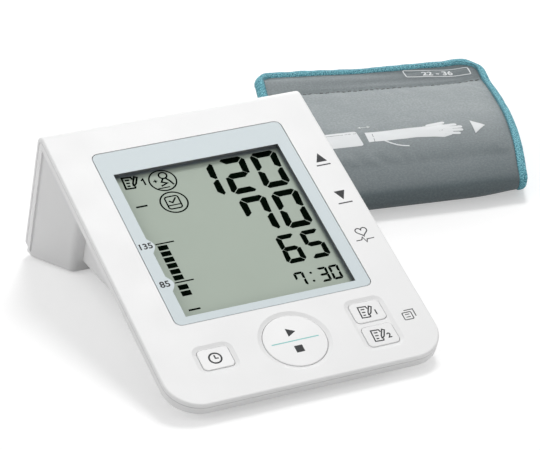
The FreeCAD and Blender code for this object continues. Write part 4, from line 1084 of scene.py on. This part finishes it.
def addStitches(name, places, size, material):
    # each place: x, s, heading in degrees and how high it lies on the cloth
    length, width, tall = size
    corners, points, faces = 10, [], []
    for x, s, heading, level in places:
        along = Vector((cos(radians(heading)), sin(radians(heading))))
        across, base = Vector((-along.y, along.x)), len(points)
        for scale, rise in ((1.0, -0.05), (0.92, 0.6 * tall), (0.6, tall)):
            for i in range(corners):
                turn = 2 * pi * i / corners
                bend = 1 if cos(turn) > 0 else -1
                ahead = (length - width) / 2 * bend + width / 2 * cos(turn)
                aside = width / 2 * sin(turn)
                spot = Vector((x, s)) + along * ahead * scale + across * aside * scale
                points.append(surface(spot.x, spot.y, -level - rise))
        for low in (base, base + corners):
            for i in range(corners):
                j = (i + 1) % corners
                faces.append(tuple(low + k for k in (i, j, j + corners, i + corners)))
        faces.append(tuple(range(base + 2 * corners, base + 3 * corners)))
        faces.append(tuple(reversed(range(base, base + corners))))
    addPiece(name, points, faces, cuffFrame, material, "cloth_grey", smooth=60)


stitches = {"padSize": (2.1, 0.85, 0.3), "padPitch": 3.0, "padHeading": -2.5, "padLevel": 0.05,
            "edgeSize": (1.5, 0.4, 0.16), "edgeInset": 3.9, "edgeLevel": 1.15, "edgeFrom": -4}


def addSeams():
    x, places = leftEdge(106) + 6.0, []
    while x < rightEdge(102) - 5.5:
        places.append((x, seamAt(x), stitches["padHeading"], stitches["padLevel"]))
        x += stitches["padPitch"]
    addStitches("padSeam", places, stitches["padSize"], threadGrey)
    places, inset = [], stitches["edgeInset"]
    for x, s, way in outlineStops():
        if s > stitches["edgeFrom"]:
            heading = degrees(atan2(-way.x, way.y))
            level = stitches["edgeLevel"] * lipAt(s)
            places.append((x + way.x * inset, s + way.y * inset, heading, level))
    addStitches("edgeSeam", places, stitches["edgeSize"], threadTeal)


puffTop()
addCuffLayers()
addBinding()
addCuffPrints()
addSeams()
print("cuff wound")


# floor and light

stage = {"reach": 4.0, "floor": (0.66, 0.66, 0.66), "floorGlow": 0.43, "sky": 0.46,
         "aim": (0.05, -0.03, 0.03)}
# place, size and power of each lamp
lamps = {"key": ((0.5, 0.5, 1.7), 0.6, 13.6), "rim": ((1.1, 1.6, 0.75), 0.8, 8.0),
         "front": ((0.3, -1.65, 0.25), 0.9, 3.0), "fill": ((-1.4, 0.2, 0.9), 1.0, 4.8)}


def seenStraight(tree):
    # by the camera, in a reflection or through a window
    path = put(tree, "LightPath")
    seen = calc("MAXIMUM", path.outputs["Is Camera Ray"], path.outputs["Is Glossy Ray"])
    return calc("MAXIMUM", seen, path.outputs["Is Transmission Ray"])


def addStage():
    reach = stage["reach"]
    ground = bpy.data.meshes.new("floor")
    corners = ((-1, -1), (1, -1), (1, 1), (-1, 1))
    ground.from_pydata([(x * reach, y * reach, 0) for x, y in corners], [], [(0, 1, 2, 3)])
    material = newFinish("floorWhite", Base_Color=(*stage["floor"], 1), Roughness=0.9,
        Specular_IOR_Level=0.1, Emission_Color=(1, 1, 1, 1))
    tree = material.node_tree
    tree.links.new(times(seenStraight(tree), stage["floorGlow"]),
        tree.nodes["Principled BSDF"].inputs["Emission Strength"])
    ground.materials.append(material)
    hold("floor", ground)

    world = bpy.data.worlds.new("studio")
    world.use_nodes = True
    scene.world = world
    tree = world.node_tree
    back = tree.nodes["Background"]
    back.inputs["Color"].default_value = (1, 1, 1, 1)
    strength = graded(seenStraight(tree), 1.0 - stage["sky"], stage["sky"])
    tree.links.new(strength, back.inputs["Strength"])

    for name, (place, size, power) in lamps.items():
        data = bpy.data.lights.new(name, "AREA")
        data.energy, data.size, data.shape = power, size, "DISK"
        light = hold(name, data)
        light.location = place
        aim = Vector(stage["aim"]) - light.location
        light.rotation_euler = aim.to_track_quat("-Z", "Y").to_euler()


addStage()
print("stage lit")
